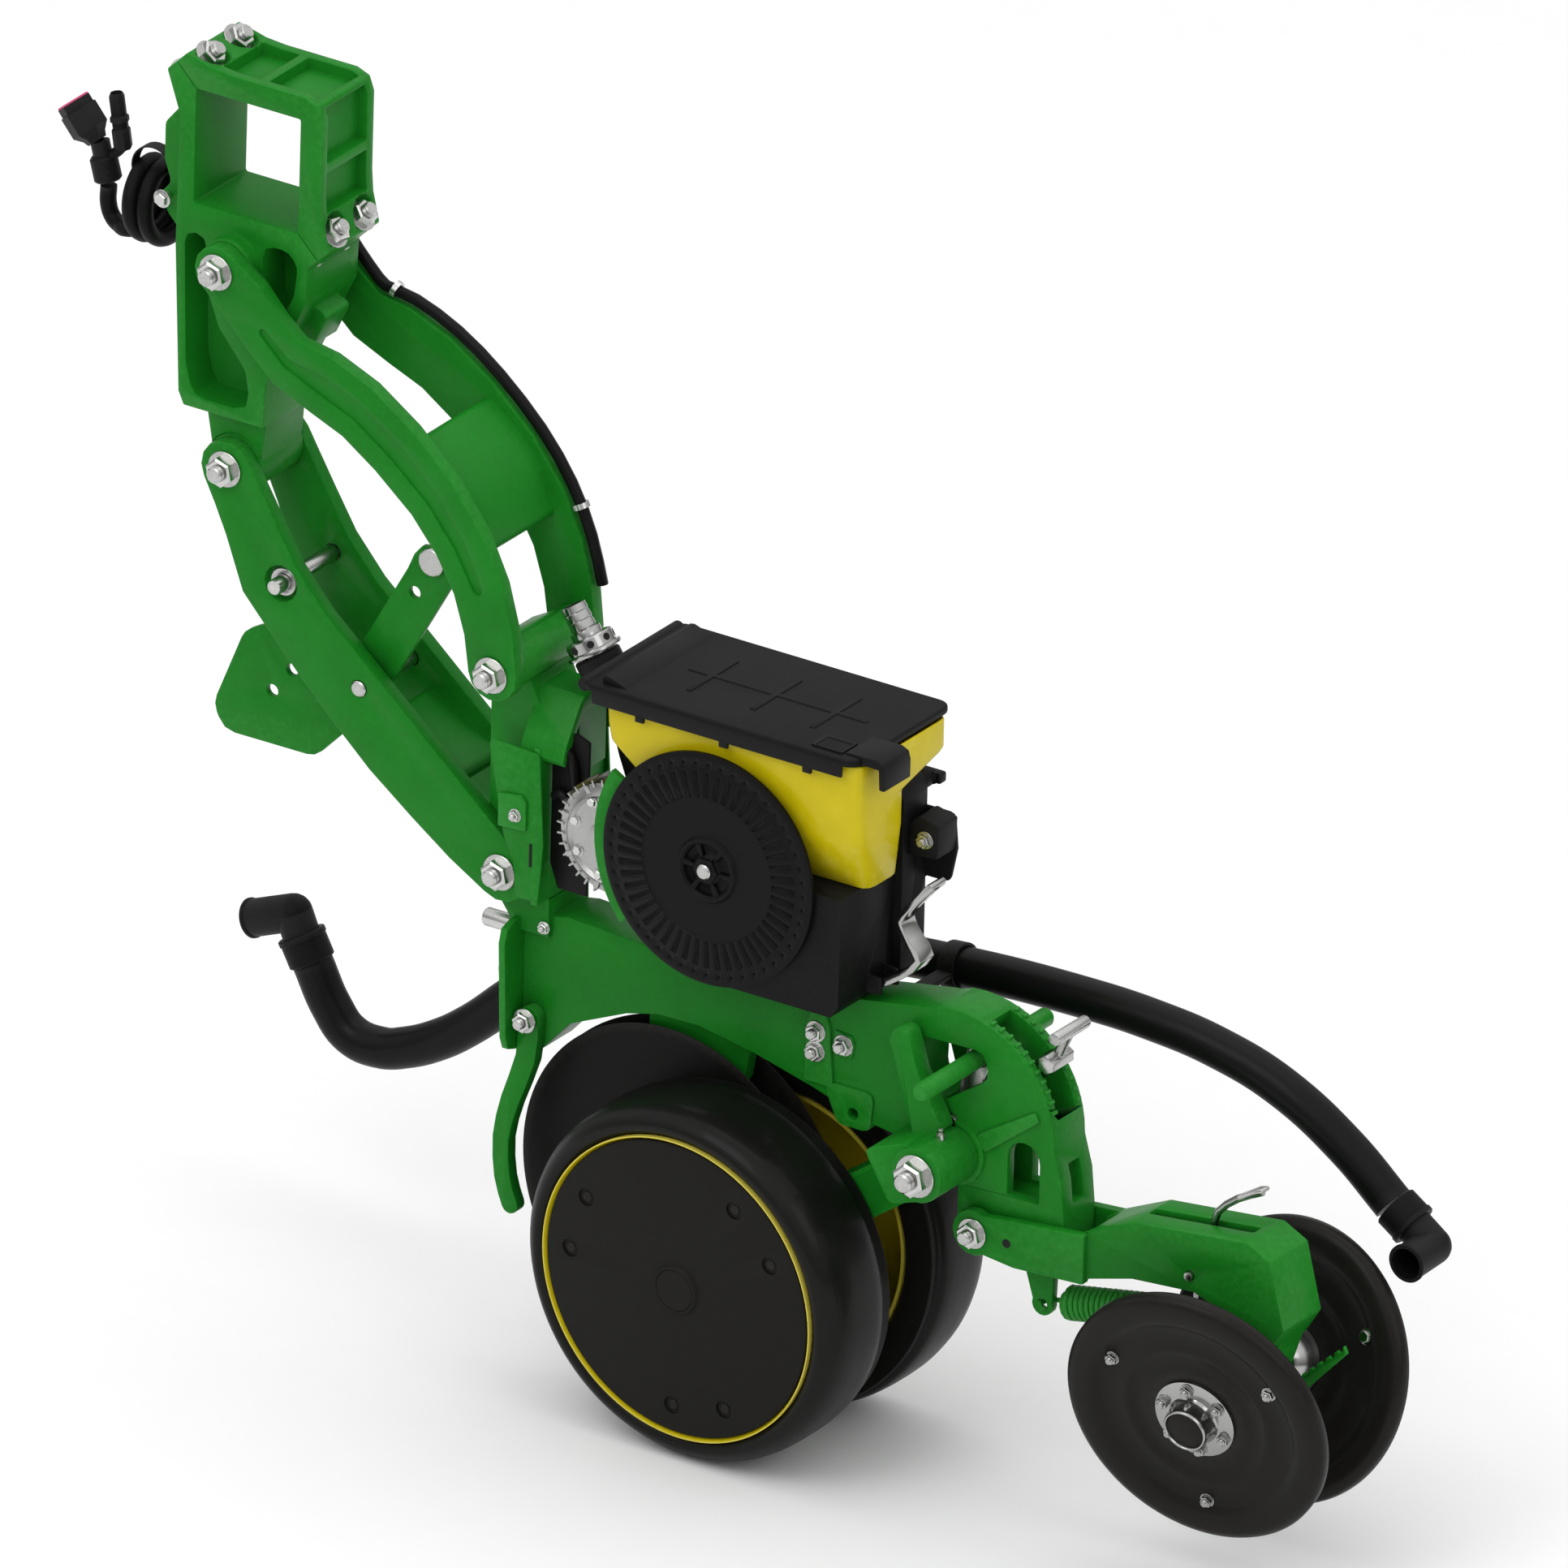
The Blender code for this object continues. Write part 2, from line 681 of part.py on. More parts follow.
grooves = [
    plate("groove", groove_outline, -UPPER_ARM_OUT - 0.002, GROOVE - UPPER_ARM_OUT),
    plate("groove", groove_outline, UPPER_ARM_OUT - GROOVE, UPPER_ARM_OUT + 0.002),
]
part("upper_arm", GREEN, [upper_bars[0], web, upper_bars[1]], grooves, upper_arm)
for name, place, grip, carrier in (
    ("lower_front_bolt", (LOWER_FRONT.x, LOWER_FRONT.z), LOWER_ARM_OUT, lower_arm),
    ("lower_rear_bolt", rear_lower, LOWER_ARM_OUT, lower_arm),
    ("upper_front_bolt", (UPPER_FRONT.x, UPPER_FRONT.z), UPPER_ARM_OUT, upper_arm),
    ("upper_rear_bolt", rear_upper, UPPER_ARM_OUT, upper_arm),
):
    through_bolt(name, (place[0], 0, place[1]), (0, 1, 0), ARM_BOLT_R, grip, 0.017, carrier)
through_bolt(
    "arm_spacer",
    (spacer_place[0], 0, spacer_place[1]),
    (0, 1, 0),
    SPACER_R,
    LOWER_ARM_OUT - COUNTERBORE,
    0.015,
    lower_arm,
)
PIN_HALF = LOWER_ARM_OUT + 0.002
part("bracket_pin", ZINC, [y_rod("pin", pin_place, -PIN_HALF, PIN_HALF, SPACER_R, 20)], carrier=lower_arm)
BRACKET_OUTLINE = [
    (0.180, 0.141),
    (0.211, 0.163),
    (0.234, 0.154),
    (0.278, 0.012),
    (0.289, -0.055),
    (0.294, -0.096),
    (0.296, -0.145),
    (0.216, -0.228),
    (0.187, -0.218),
    (0.146, -0.128),
    (0.152, -0.103),
    (0.232, -0.013),
    (0.195, 0.106),
]
bracket_holes = [
    circle(place, radius)
    for place, radius in zip(
        on_arm(LOWER_FRONT, [PIN, (0.206, 0.140), (0.220, 0.095), (0.209, -0.104), (0.214, -0.142)]),
        (SPACER_R + RUNNING, 0.0135, 0.007, 0.007, 0.007),
    )
]
part(
    "force_bracket",
    GREEN,
    [
        plate(
            "bracket",
            rounded(on_arm(LOWER_FRONT, BRACKET_OUTLINE), 0.024),
            *BRACKET_Y,
            holes=bracket_holes,
        )
    ],
    carrier=lower_arm,
)
HARNESS_R = 0.0065
harness_side, _ = beside(on_arm(UPPER_FRONT, UPPER_STATIONS[1:-1]), 2, HARNESS_R + 0.0020)
harness_route = [(x, UPPER_ARM_OUT - 0.009, z) for x, z in harness_side]
part("arm_harness", RUBBER, [wire("harness", harness_route, HARNESS_R)], carrier=upper_arm)

# ================================================================ row frame
row_frame = pivot("row_frame_pivot", (LINK[0], 0, LINK[1]), lower_arm)
FRAME_OUT = FRAME_HALF
FRAME_IN = FRAME_HALF - CHEEK
TOP_EDGE = [(0.411, -0.764), (0.520, -0.770), (0.648, -0.771), (0.780, -0.757), (0.868, -0.742)]
QUADRANT_EDGE = arc(QUADRANT, QUADRANT_R, 97, 0, 14)
BOTTOM_EDGE = [
    (1.033, -0.900),
    (1.037, -0.939),
    (1.037, -1.000),
    (0.905, -1.000),
    (0.905, -0.934),
    (0.860, -0.905),
    (0.783, -0.894),
    (0.721, -0.874),
    (0.650, -0.856),
    (0.577, -0.843),
    (0.525, -0.844),
    (0.486, -0.854),
    (0.416, -0.885),
    (0.380, -0.925),
    (0.352, -0.925),
    (0.352, -0.775),
]
FRAME_OUTLINE = TOP_EDGE + QUADRANT_EDGE + BOTTOM_EDGE
WINDOW = rounded(
    [(0.852, -0.778), (0.934, -0.776), (0.940, -0.806), (0.874, -0.852), (0.850, -0.832)],
    0.014,
)
# The space between the cheeks opens through the quadrant's rim only where the depth handle travels.
HANDLE_SLOT = (72, 14)  # degrees
BETWEEN = [
    *arc(QUADRANT, QUADRANT_R - 0.016, 97, HANDLE_SLOT[0], 3),
    *arc(QUADRANT, QUADRANT_R + 0.022, *HANDLE_SLOT, 8),
    *arc(QUADRANT, QUADRANT_R - 0.016, HANDLE_SLOT[1], -25, 5),
    (0.990, -0.934),
    (0.874, -0.934),
]
ARCH = [(1.006, -0.930), (0.966, -0.930)] + arc((0.986, -0.886), 0.020, 180, 0, 8)
LEG_OUTLINE = [
    (0.500, -0.840),
    (0.630, -0.850),
    (0.622, -0.900),
    (0.572, -0.985),
    (0.560, -1.066),
    (0.510, -1.066),
    (0.506, -0.990),
]
SPINE = [
    (0.352, -0.790),
    (0.315, -0.740),
    (0.313, -0.470),
    (0.340, -0.455),
    (0.390, -0.560),
    (0.392, -0.790),
]
CLEVIS = [(0.735, -0.860), (0.800, -0.860), (0.795, -0.905), (0.755, -0.905)]
UNDERSIDE = [
    (0.400, -0.795),
    (0.840, -0.790),
    (0.840, -0.930),
    (0.630, -0.930),
    (0.630, -0.845),
    (0.400, -0.845),
]
WEB_HALF = 0.009  # half the thickness of the web between the two hollows underneath
LUG_OUTLINE = [(0.965, -0.990), (1.012, -0.990)] + arc((0.997, -1.057), 0.013, 20, -200, 9)
FRONT_WALL_X = (0.384, 0.392)
SHOULDER = 0.0615  # half width of the tower below its roof
ROOF = [
    (-SHOULDER, -0.572),
    (-0.054, -0.554),
    (-0.030, -0.516),
    (-0.022, -0.510),
    (0.022, -0.510),
    (0.030, -0.516),
    (0.054, -0.554),
    (SHOULDER, -0.572),
    (0.056, -0.580),
    (0.024, -0.528),
    (-0.024, -0.528),
    (-0.056, -0.580),
]
FLANGE_HALF = 0.070
flange = [(-FLANGE_HALF, -0.775), (FLANGE_HALF, -0.775), (0.062, -0.925), (-0.062, -0.925)]
frame_solids = [
    plate("row_frame", FRAME_OUTLINE, -FRAME_OUT, FRAME_OUT),
    plate("spine", SPINE, -LOWER_IN + 0.002, LOWER_IN - 0.002),
    y_rod("lower_link", LINK, -LOWER_IN + GAP, LOWER_IN - GAP, 0.034),
    y_rod("upper_link", LINK_TOP, -UPPER_IN + GAP, UPPER_IN - GAP, 0.026),
    plate("front_flange", rounded(flange, 0.020), 0.350, 0.358, "X"),
    block("tower_wall", (FRONT_WALL_X[0], -SHOULDER, -0.745), (FRONT_WALL_X[1], SHOULDER, -0.565)),
    plate("roof", ROOF, 0.366, 0.420, "X"),
    block("roof_web", (0.384, -0.026, -0.600), (0.416, 0.026, -0.520)),
    y_rod("gauge_boss", GAUGE_PIVOT, -0.036, 0.036, 0.036),
    plate("disc_leg", LEG_OUTLINE, -0.008, 0.008),
    plate("spring_lug", LUG_OUTLINE, -0.005, 0.005, holes=[circle((0.997, -1.057), 0.006, 16)]),
    plate("clevis", rounded(CLEVIS, 0.010), -0.034, 0.034),
]
frame_cuts = [
    # The crank that sets the depth works in the space between the cheeks.
    plate("between", BETWEEN, -FRAME_IN, FRAME_IN),
    block("rear_arch", (0.985, -0.010, -0.928), (1.060, 0.010, -0.885)),
    plate("underside", UNDERSIDE, WEB_HALF, FRAME_IN),
    plate("underside", UNDERSIDE, -FRAME_IN, -WEB_HALF),
    plate("window", WINDOW, -0.05, 0.05),
    plate("arch", ARCH, -0.05, 0.05),
    y_rod("bore", LINK, -0.1, 0.1, ARM_BORE, 12),
    y_rod("bore", LINK_TOP, -0.1, 0.1, ARM_BORE, 12),
    y_rod("bore", GAUGE_PIVOT, -0.1, 0.1, GAUGE_BOLT_R + RUNNING, 12),
    y_rod("bore", CLOSING_PIVOT, -0.1, 0.1, CLOSING_BOLT_R + RUNNING, 12),
    y_rod("bore", QUADRANT, -0.1, 0.1, CRANK_PIN_R + RUNNING, 12),
    y_rod("bore", (0.774, -0.889), -0.1, 0.1, 0.007, 8),
]
part("row_frame", GREEN, frame_solids, frame_cuts, row_frame)
COVER = [
    (0.329, -0.566),
    (0.393, -0.570),
    (0.400, -0.672),
    (0.395, -0.738),
    (0.3668, -0.740),
    (0.3632, -0.700),
    (0.350, -0.672),
]
COVER_THICK = 0.003
for side, way in (("near", -1), ("far", 1)):
    low_y, high_y = sorted((way * (SHOULDER + GAP), way * (SHOULDER + GAP + COVER_THICK)))
    cover = plate("cover", rounded(COVER, 0.006), low_y, high_y)
    part(f"side_cover_{side}", GREEN, [cover], carrier=row_frame)
GUARD = [
    (0.374, -0.885, 0.013),
    (0.371, -0.932, 0.012),
    (0.353, -0.985, 0.011),
    (0.343, -1.030, 0.010),
    (0.346, -1.075, 0.010),
    (0.356, -1.104, 0.010),
]
part(
    "rock_guard",
    GREEN,
    [
        plate("guard", strap(GUARD, 2), -0.045, -FRAME_OUT - GAP),
        rod("guard_bolt", (0.374, -0.044, -0.885), (0.374, -0.051, -0.885), 0.012, 6),
    ],
    carrier=row_frame,
)

# ================================================================ seed hopper and meter
BASE_TOP = -0.6185
BASE_LOW = -0.7555
BASE_FAR = 0.0095
PLATE_BACK = PLATE_Y + PLATE_THICK
BACK_Y = (PLATE_BACK + 0.0025, PLATE_BACK + 0.0075)  # the thin wall behind the seed plate
PLATE_BORE = 0.010
BASE = [
    (0.560, -0.640),
    (0.575, BASE_TOP),
    (0.790, BASE_TOP),
    (0.790, -0.742),
    (0.780, BASE_LOW),
    (0.600, BASE_LOW),
    (0.560, -0.715),
]
LATCH_LUG = [(0.780, -0.720), (0.806, -0.724), (0.808, -0.742), (0.780, -0.745)]
LATCH_HINGE = (0.800, -0.733)
latch_lugs = [
    plate("latch_lug", LATCH_LUG, low, low + 0.004)
    for low in (-0.0375, -0.0065)
]
part(
    "meter_housing",
    BLACK,
    [
        plate("base", BASE, BACK_Y[0], BASE_FAR),
        plate("back", circle(PLATE_CENTRE, 0.120, 28), *BACK_Y),
        y_rod("stub", PLATE_CENTRE, PLATE_Y - 0.004, BACK_Y[1], PLATE_BORE, 16),
        block("motor_mount", (0.470, -0.0392, -0.700), (0.570, -0.0310, -0.6255)),
        *latch_lugs,
    ],
    carrier=row_frame,
)
seed_plate = pivot("seed_plate_axis", (PLATE_CENTRE[0], PLATE_Y, PLATE_CENTRE[1]), row_frame)
plate_profile = [
    (PLATE_BORE + RUNNING, 0),
    (PLATE_R - 0.003, 0),
    (PLATE_R, -0.001),
    (PLATE_R, -PLATE_THICK),
    (PLATE_BORE + RUNNING, -PLATE_THICK),
]
part(
    "seed_plate",
    BLACK,
    [turned("plate", plate_profile, (PLATE_CENTRE[0], PLATE_Y, PLATE_CENTRE[1]), (0, -1, 0), 32, True)],
    carrier=seed_plate,
)
MOTOR = (0.490, -0.636)
MOTOR_Y = (-0.080, -0.040)
MOTOR_R = 0.062
part(
    "drive_motor",
    DARK_STEEL,
    [
        y_rod("motor", MOTOR, *MOTOR_Y, MOTOR_R, 24),
        y_rod("boss", MOTOR, MOTOR_Y[0] - 0.006, MOTOR_Y[0] + 0.002, 0.022, 20),
    ],
    carrier=row_frame,
)
HOPPER_X = (0.482, 0.806)
HOPPER_TOP = LID_Z - LID_THICK - 0.001
LEVELS = [
    (HOPPER_TOP, *HOPPER_X, -HOPPER_HALF, HOPPER_HALF),
    (-0.500, 0.484, 0.806, -HOPPER_HALF, HOPPER_HALF),
    (-0.519, 0.488, 0.806, -0.0835, 0.006),
    (-0.557, 0.535, 0.806, -0.0820, 0.006),
    (-0.618, 0.577, 0.800, -0.0550, 0.006),
]
part(
    "hopper",
    YELLOW,
    [
        lofted_shell("hopper", LEVELS, HOPPER_WALL),
        block("hinge_bracket", (0.4640, -0.070, -0.4860), (0.4840, 0.070, -0.4740)),
    ],
    carrier=row_frame,
)
LID_HINGE = (LID_X, LID_Z - LID_THICK / 2)
hopper_lid = pivot("hopper_lid_hinge", (LID_HINGE[0], 0, LID_HINGE[1]), row_frame)
LID_END = LID_X + LID_LENGTH
SKIRT = 0.0045
SKIRT_LOW = LID_Z - LID_THICK - 0.012
TAB_Y = (-0.080, -0.030)
part(
    "hopper_lid",
    BLACK,
    [
        block("lid", (LID_X, -LID_HALF, LID_Z - LID_THICK), (LID_END, LID_HALF, LID_Z)),
        block("skirt", (LID_X + 0.012, -LID_HALF, SKIRT_LOW), (LID_END, SKIRT - LID_HALF, LID_Z - 0.002)),
        block("skirt", (LID_X + 0.012, LID_HALF - SKIRT, SKIRT_LOW), (LID_END, LID_HALF, LID_Z - 0.002)),
        y_rod("knuckle", LID_HINGE, -LID_HALF, LID_HALF, 0.0080, 16),
        block(
            "tab",
            (LID_END - 0.020, TAB_Y[0], LID_Z - LID_THICK),
            (LID_END + 0.030, TAB_Y[1], LID_Z + 0.004),
        ),
        block("tab_end", (LID_END + 0.022, TAB_Y[0], -0.486), (LID_END + 0.030, TAB_Y[1], LID_Z + 0.002)),
    ],
    carrier=hopper_lid,
)
VACUUM_Y = (BASE_FAR + 0.0005, 0.055)
VACUUM = [
    (0.600, -0.540),
    (0.620, -0.522),
    (0.795, -0.522),
    (0.800, -0.540),
    (0.800, -0.735),
    (0.790, -0.745),
    (0.640, -0.745),
    (0.600, -0.700),
]
KNOB_BRACKET = [(0.770, -0.560), (0.834, -0.560), (0.838, -0.600), (0.830, -0.640), (0.770, -0.640)]
part(
    "vacuum_housing",
    BLACK,
    [
        plate("vacuum", rounded(VACUUM, 0.008, 2), *VACUUM_Y),
        plate("knob_bracket", rounded(KNOB_BRACKET, 0.008, 2), VACUUM_Y[1] - 0.001, VACUUM_Y[1] + 0.004),
    ],
    carrier=row_frame,
)
T_KNOB = (0.786, -0.535)
STAR_KNOB = (0.800, -0.590)
KNOB_SEAT = VACUUM_Y[1] + GAP
t_knob = pivot("t_knob_axis", (T_KNOB[0], KNOB_SEAT, T_KNOB[1]), row_frame)
part(
    "t_knob",
    BLACK,
    [
        y_rod("knob", T_KNOB, KNOB_SEAT, 0.072, 0.012, 16),
        block(
            "grip",
            (T_KNOB[0] - 0.019, 0.070, T_KNOB[1] - 0.006),
            (T_KNOB[0] + 0.019, 0.083, T_KNOB[1] + 0.006),
        ),
    ],
    carrier=t_knob,
)
star_knob = pivot("star_knob_axis", (STAR_KNOB[0], KNOB_SEAT, STAR_KNOB[1]), row_frame)
star = []
for lobe in range(10):
    star += circle(STAR_KNOB, (0.020, 0.015)[lobe % 2], 10)[lobe : lobe + 1]
part(
    "star_knob",
    BLACK,
    [
        plate("star", star, KNOB_SEAT + 0.012, KNOB_SEAT + 0.026),
        y_rod("knob", STAR_KNOB, KNOB_SEAT + 0.004, KNOB_SEAT + 0.016, 0.009, 16),
    ],
    carrier=star_knob,
)
meter_latch = pivot("meter_latch_hinge", (LATCH_HINGE[0], -0.020, LATCH_HINGE[1]), row_frame)
LATCH = [
    (0.800, -0.733, 0.0050),
    (0.828, -0.716, 0.0040),
    (0.849, -0.694, 0.0045),
    (0.836, -0.676, 0.0040),
    (0.824, -0.655, 0.0040),
    (0.842, -0.629, 0.0035),
    (0.862, -0.606, 0.0045),
]
part("meter_latch", ZINC, [plate("latch", strap(LATCH, 2, 4), -0.0332, -0.0068)], carrier=meter_latch)
NOZZLE_TOP = Vector((0.387, 0, -0.422))
NOZZLE_END = Vector((0.432, 0, -0.490))
NOZZLE_DOWN = (NOZZLE_END - NOZZLE_TOP).normalized()
part(
    "nozzle",
    ZINC,
    [
        rod("nozzle", NOZZLE_TOP, NOZZLE_END, 0.014, 20),
        rod("collar", NOZZLE_TOP + NOZZLE_DOWN * 0.030, NOZZLE_TOP + NOZZLE_DOWN * 0.045, 0.030, 24),
    ],
    [rod("bore", NOZZLE_TOP - NOZZLE_DOWN * 0.01, NOZZLE_TOP + NOZZLE_DOWN * 0.060, 0.0105, 20)],
    row_frame,
)
tube = [
    NOZZLE_END + NOZZLE_DOWN * 0.003,
    (0.447, 0, -0.516),
    (0.460, 0, -0.550),
    (0.474, 0, -0.590),
    (0.500, 0, -0.630),
    (0.526, 0, -0.646),
    (0.5580, 0, -0.650),
]
part("air_tube", BLACK, [wire("tube", smooth(tube, 2), 0.0145)], carrier=row_frame)

# ================================================================ seed hose on the far side
HOSE = [
    (-0.040, -1.0165),
    (-0.0155, -1.060),
    (0.009, -1.085),
    (0.048, -1.090),
    (0.078, -1.0815),
    (0.1185, -1.0615),
    (0.1585, -1.033),
    (0.220, -0.978),
    (0.310, -0.910),
    (0.440, -0.853),
    (0.600, -0.818),
    (0.7635, -0.799),
    (0.926, -0.792),
    (1.008, -0.794),
    (1.090, -0.8035),
    (1.172, -0.827),
    (1.2545, -0.8735),
    (1.3132, -0.9211),
]
hose = [Vector((x, HOSE_Y, z)) for x, z in HOSE]
part("seed_hose", BLACK, [wire("hose", smooth(hose, 2), HOSE_R)], carrier=row_frame)
CUFF_R = 0.0250
ELBOW_R = 0.0205
ELBOW_BORE = 0.0175


def hose_elbow(name, cuff, corner, mouth):
    """A cuff that meets the hose, then a pipe that turns at the corner and opens at the mouth."""
    cuff = [Vector(point) for point in cuff]
    corner, mouth = Vector(corner), Vector(mouth)
    way = (mouth - corner).normalized()
    ball = ELBOW_R - 0.0004
    knee = [(ball * math.sin(math.pi * k / 8), ball * math.cos(math.pi * k / 8)) for k in range(9)]
    part(
        name,
        BLACK,
        [
            rod("cuff", *cuff, CUFF_R),
            rod("pipe", cuff[1] - (corner - cuff[1]) * 0.1, corner, ELBOW_R),
            turned("knee", knee, corner, way, 16),
            rod("outlet", corner - way * 0.003, mouth, ELBOW_R),
        ],
        [rod("mouth", mouth + way * 0.010, corner + way * 0.012, ELBOW_BORE)],
        row_frame,
    )


hose_elbow(
    "hose_elbow_front",
    [(-0.0407, HOSE_Y, -1.0150), (-0.0560, HOSE_Y, -0.9870)],
    (-0.0655, HOSE_Y, -0.9655),
    (-0.1180, HOSE_Y, -0.9865),
)
hose_elbow(
    "hose_elbow_rear",
    [(1.3160, HOSE_Y, -0.9231), (1.3409, HOSE_Y, -0.9400)],
    (1.3638, HOSE_Y, -0.9565),
    (1.3638, HOSE_Y - 0.050, -0.9585),
)
CLAMP_AT = HOSE[11]
clamp_way = (hose[12] - hose[10]).normalized()
band = [
    (HOSE_R + 0.004, 0.010),
    (HOSE_R + 0.004, -0.010),
    (HOSE_R + 0.0006, -0.010),
    (HOSE_R + 0.0006, 0.010),
]
strut_x, strut_z = CLAMP_AT
part(
    "hose_bracket",
    DARK_STEEL,
    [
        turned("band", band, hose[11], clamp_way, 24, True),
        block(
            "strut",
            (strut_x - 0.009, FRAME_OUT + GAP, strut_z - 0.003),
            (strut_x + 0.009, HOSE_Y - HOSE_R - 0.001, strut_z + 0.003),
        ),
        block(
            "foot",
            (strut_x - 0.018, FRAME_OUT + GAP, strut_z - 0.025),
            (strut_x + 0.018, FRAME_OUT + 0.005, strut_z + 0.012),
        ),
    ],
    carrier=row_frame,
)

# ================================================================ depth setting
depth_handle = pivot("depth_handle_pivot", (QUADRANT[0], 0, QUADRANT[1]), row_frame)
DEPTH_BAR = (0.913, -0.795)
DEPTH_BAR_R = 0.0105
HANDLE_BLOCK = (1.003, -0.776)
GRIP = (1.020, -0.738)
crank = strap([(*QUADRANT, 0.015), (0.905, -0.830, 0.014), (*DEPTH_BAR, 0.016)], 1)
reach = strap([(*QUADRANT, 0.015), (0.950, -0.820, 0.012), (1.000, -0.778, 0.010)], 1, 3)
block_way = Vector((HANDLE_BLOCK[0] - QUADRANT[0], 0, HANDLE_BLOCK[1] - QUADRANT[1])).normalized()
block_centre = Vector((QUADRANT[0], 0, QUADRANT[1])) + block_way * (QUADRANT_R + 0.013)
part(
    "depth_handle",
    ZINC,
    [
        plate("crank", crank, -0.008, 0.008),
        plate("reach", reach, -0.008, 0.008),
        y_rod("crank_pin", QUADRANT, -FRAME_OUT - 0.004, FRAME_OUT + 0.004, CRANK_PIN_R, 16),
        rod("block", block_centre - Vector((0, 0.020, 0)), block_centre + Vector((0, 0.020, 0)), 0.011, 6),
        rod("stem", block_centre, (GRIP[0], 0, GRIP[1]), 0.006, 12),
        y_rod("grip", GRIP, -0.030, 0.030, 0.007, 16),
    ],
    [y_rod("bar_hole", DEPTH_BAR, -0.02, 0.02, DEPTH_BAR_R + GAP)],
    depth_handle,
)
part("depth_bar", GREEN, [y_rod("depth_bar", DEPTH_BAR, -0.120, 0.120, DEPTH_BAR_R)], carrier=depth_handle)

# ================================================================ opener discs
for side, way in (("near", -1), ("far", 1)):
    lean = math.sin(DISC_SPLAY)
    normal = Vector((lean * math.cos(DISC_MEET), way * math.cos(DISC_SPLAY), lean * math.sin(DISC_MEET)))
    centre = Vector((DISC_CENTRE[0], way * 0.0125, DISC_CENTRE[1]))
    axle = pivot(f"opener_disc_{side}_axis", centre, row_frame)
    half = DISC_THICK / 2
    profile = [
        (0, 0.0165),
        (0.022, 0.0165),
        (0.042, 0.009),
        (0.045, half),
        (DISC_R - 0.012, half),
        (DISC_R, 0),
        (DISC_R - 0.012, -half),
        (0.0105, -half),
        (0.0105, 0.010),
        (0, 0.010),
    ]
    part(f"opener_disc_{side}", DARK_STEEL, [turned("disc", profile, centre, normal, 32)], carrier=axle)
    spindle = rod("spindle", centre - normal * 0.010, centre + normal * 0.009, 0.0100, 16)
    frame = bpy.data.objects["row_frame"]
    step = frame.modifiers.new("disc_spindle", "BOOLEAN")
    step.operation = "UNION"
    step.object = spindle
    carry(spindle, row_frame)

# ================================================================ gauge arms and wheels
BOSS_Y = (0.0366, 0.108)
ARM_PLATE_Y = (0.0308, 0.0388)
GAUGE_LUG = [
    (0.868, -0.882),
    (0.835, -0.776),
    (0.842, -0.759),
    (0.858, -0.762),
    (0.872, -0.805),
    (0.905, -0.864),
]
GAUGE_BOX = [(0.905, -0.930), (0.865, -0.943), (0.831, -0.888), (0.886, -0.867)]
GAUGE_STRAP = [
    (0.848, -0.9355, 0.026),
    (0.800, -0.970, 0.026),
    (0.720, -1.028, 0.026),
    (*WHEEL_CENTRE, 0.028),
]
TYRE = [
    (0.1725, 0.050),
    (0.185, 0.057),
    (0.197, 0.047),
    (WHEEL_R, 0.025),
    (WHEEL_R, -0.020),
    (0.199, -0.038),
    (0.193, -0.042),
    (0.195, -WHEEL_WIDTH / 2),
    (0.160, -0.055),
    (0.1580, -0.050),
    (0.1580, 0.046),
]
RIM_FACE = 0.0525
RIM = [
    (0, RIM_FACE),
    (RIM_R - 0.0008, RIM_FACE),
    (RIM_R, RIM_FACE - 0.0019),
    (0.1567, RIM_FACE - 0.0019),
    (0.1567, -0.050),
    (0.1530, -0.050),
    (0.1530, RIM_FACE - 0.006),
    (0.030, RIM_FACE - 0.006),
    (0.026, -0.038),
    (SPINDLE_R + RUNNING, -0.038),
    (SPINDLE_R + RUNNING, 0.040),
    (0, 0.040),
]
WHEEL_COVER = [
    (0, 0.068),
    (0.024, 0.068),
    (0.032, 0.0565),
    (0.166, 0.0565),
    (COVER_R, 0.0545),
    (COVER_R, RIM_FACE + GAP),
    (0, RIM_FACE + GAP),
]
COVER_HOLE_R = 0.008
COVER_HOLES_AT = 0.137  # from the axle, in three pairs
part(
    "gauge_pivot_bolt",
    ZINC,
    [
        y_rod("bolt", GAUGE_PIVOT, -0.134, 0.134, GAUGE_BOLT_R, 16),
        *(y_rod("washer", GAUGE_PIVOT, way * 0.1084, way * 0.112, 0.023, 20) for way in (-1, 1)),
        *(y_rod("hexagon", GAUGE_PIVOT, way * 0.111, way * 0.126, 0.0175, 6) for way in (-1, 1)),
    ],
    carrier=row_frame,
)
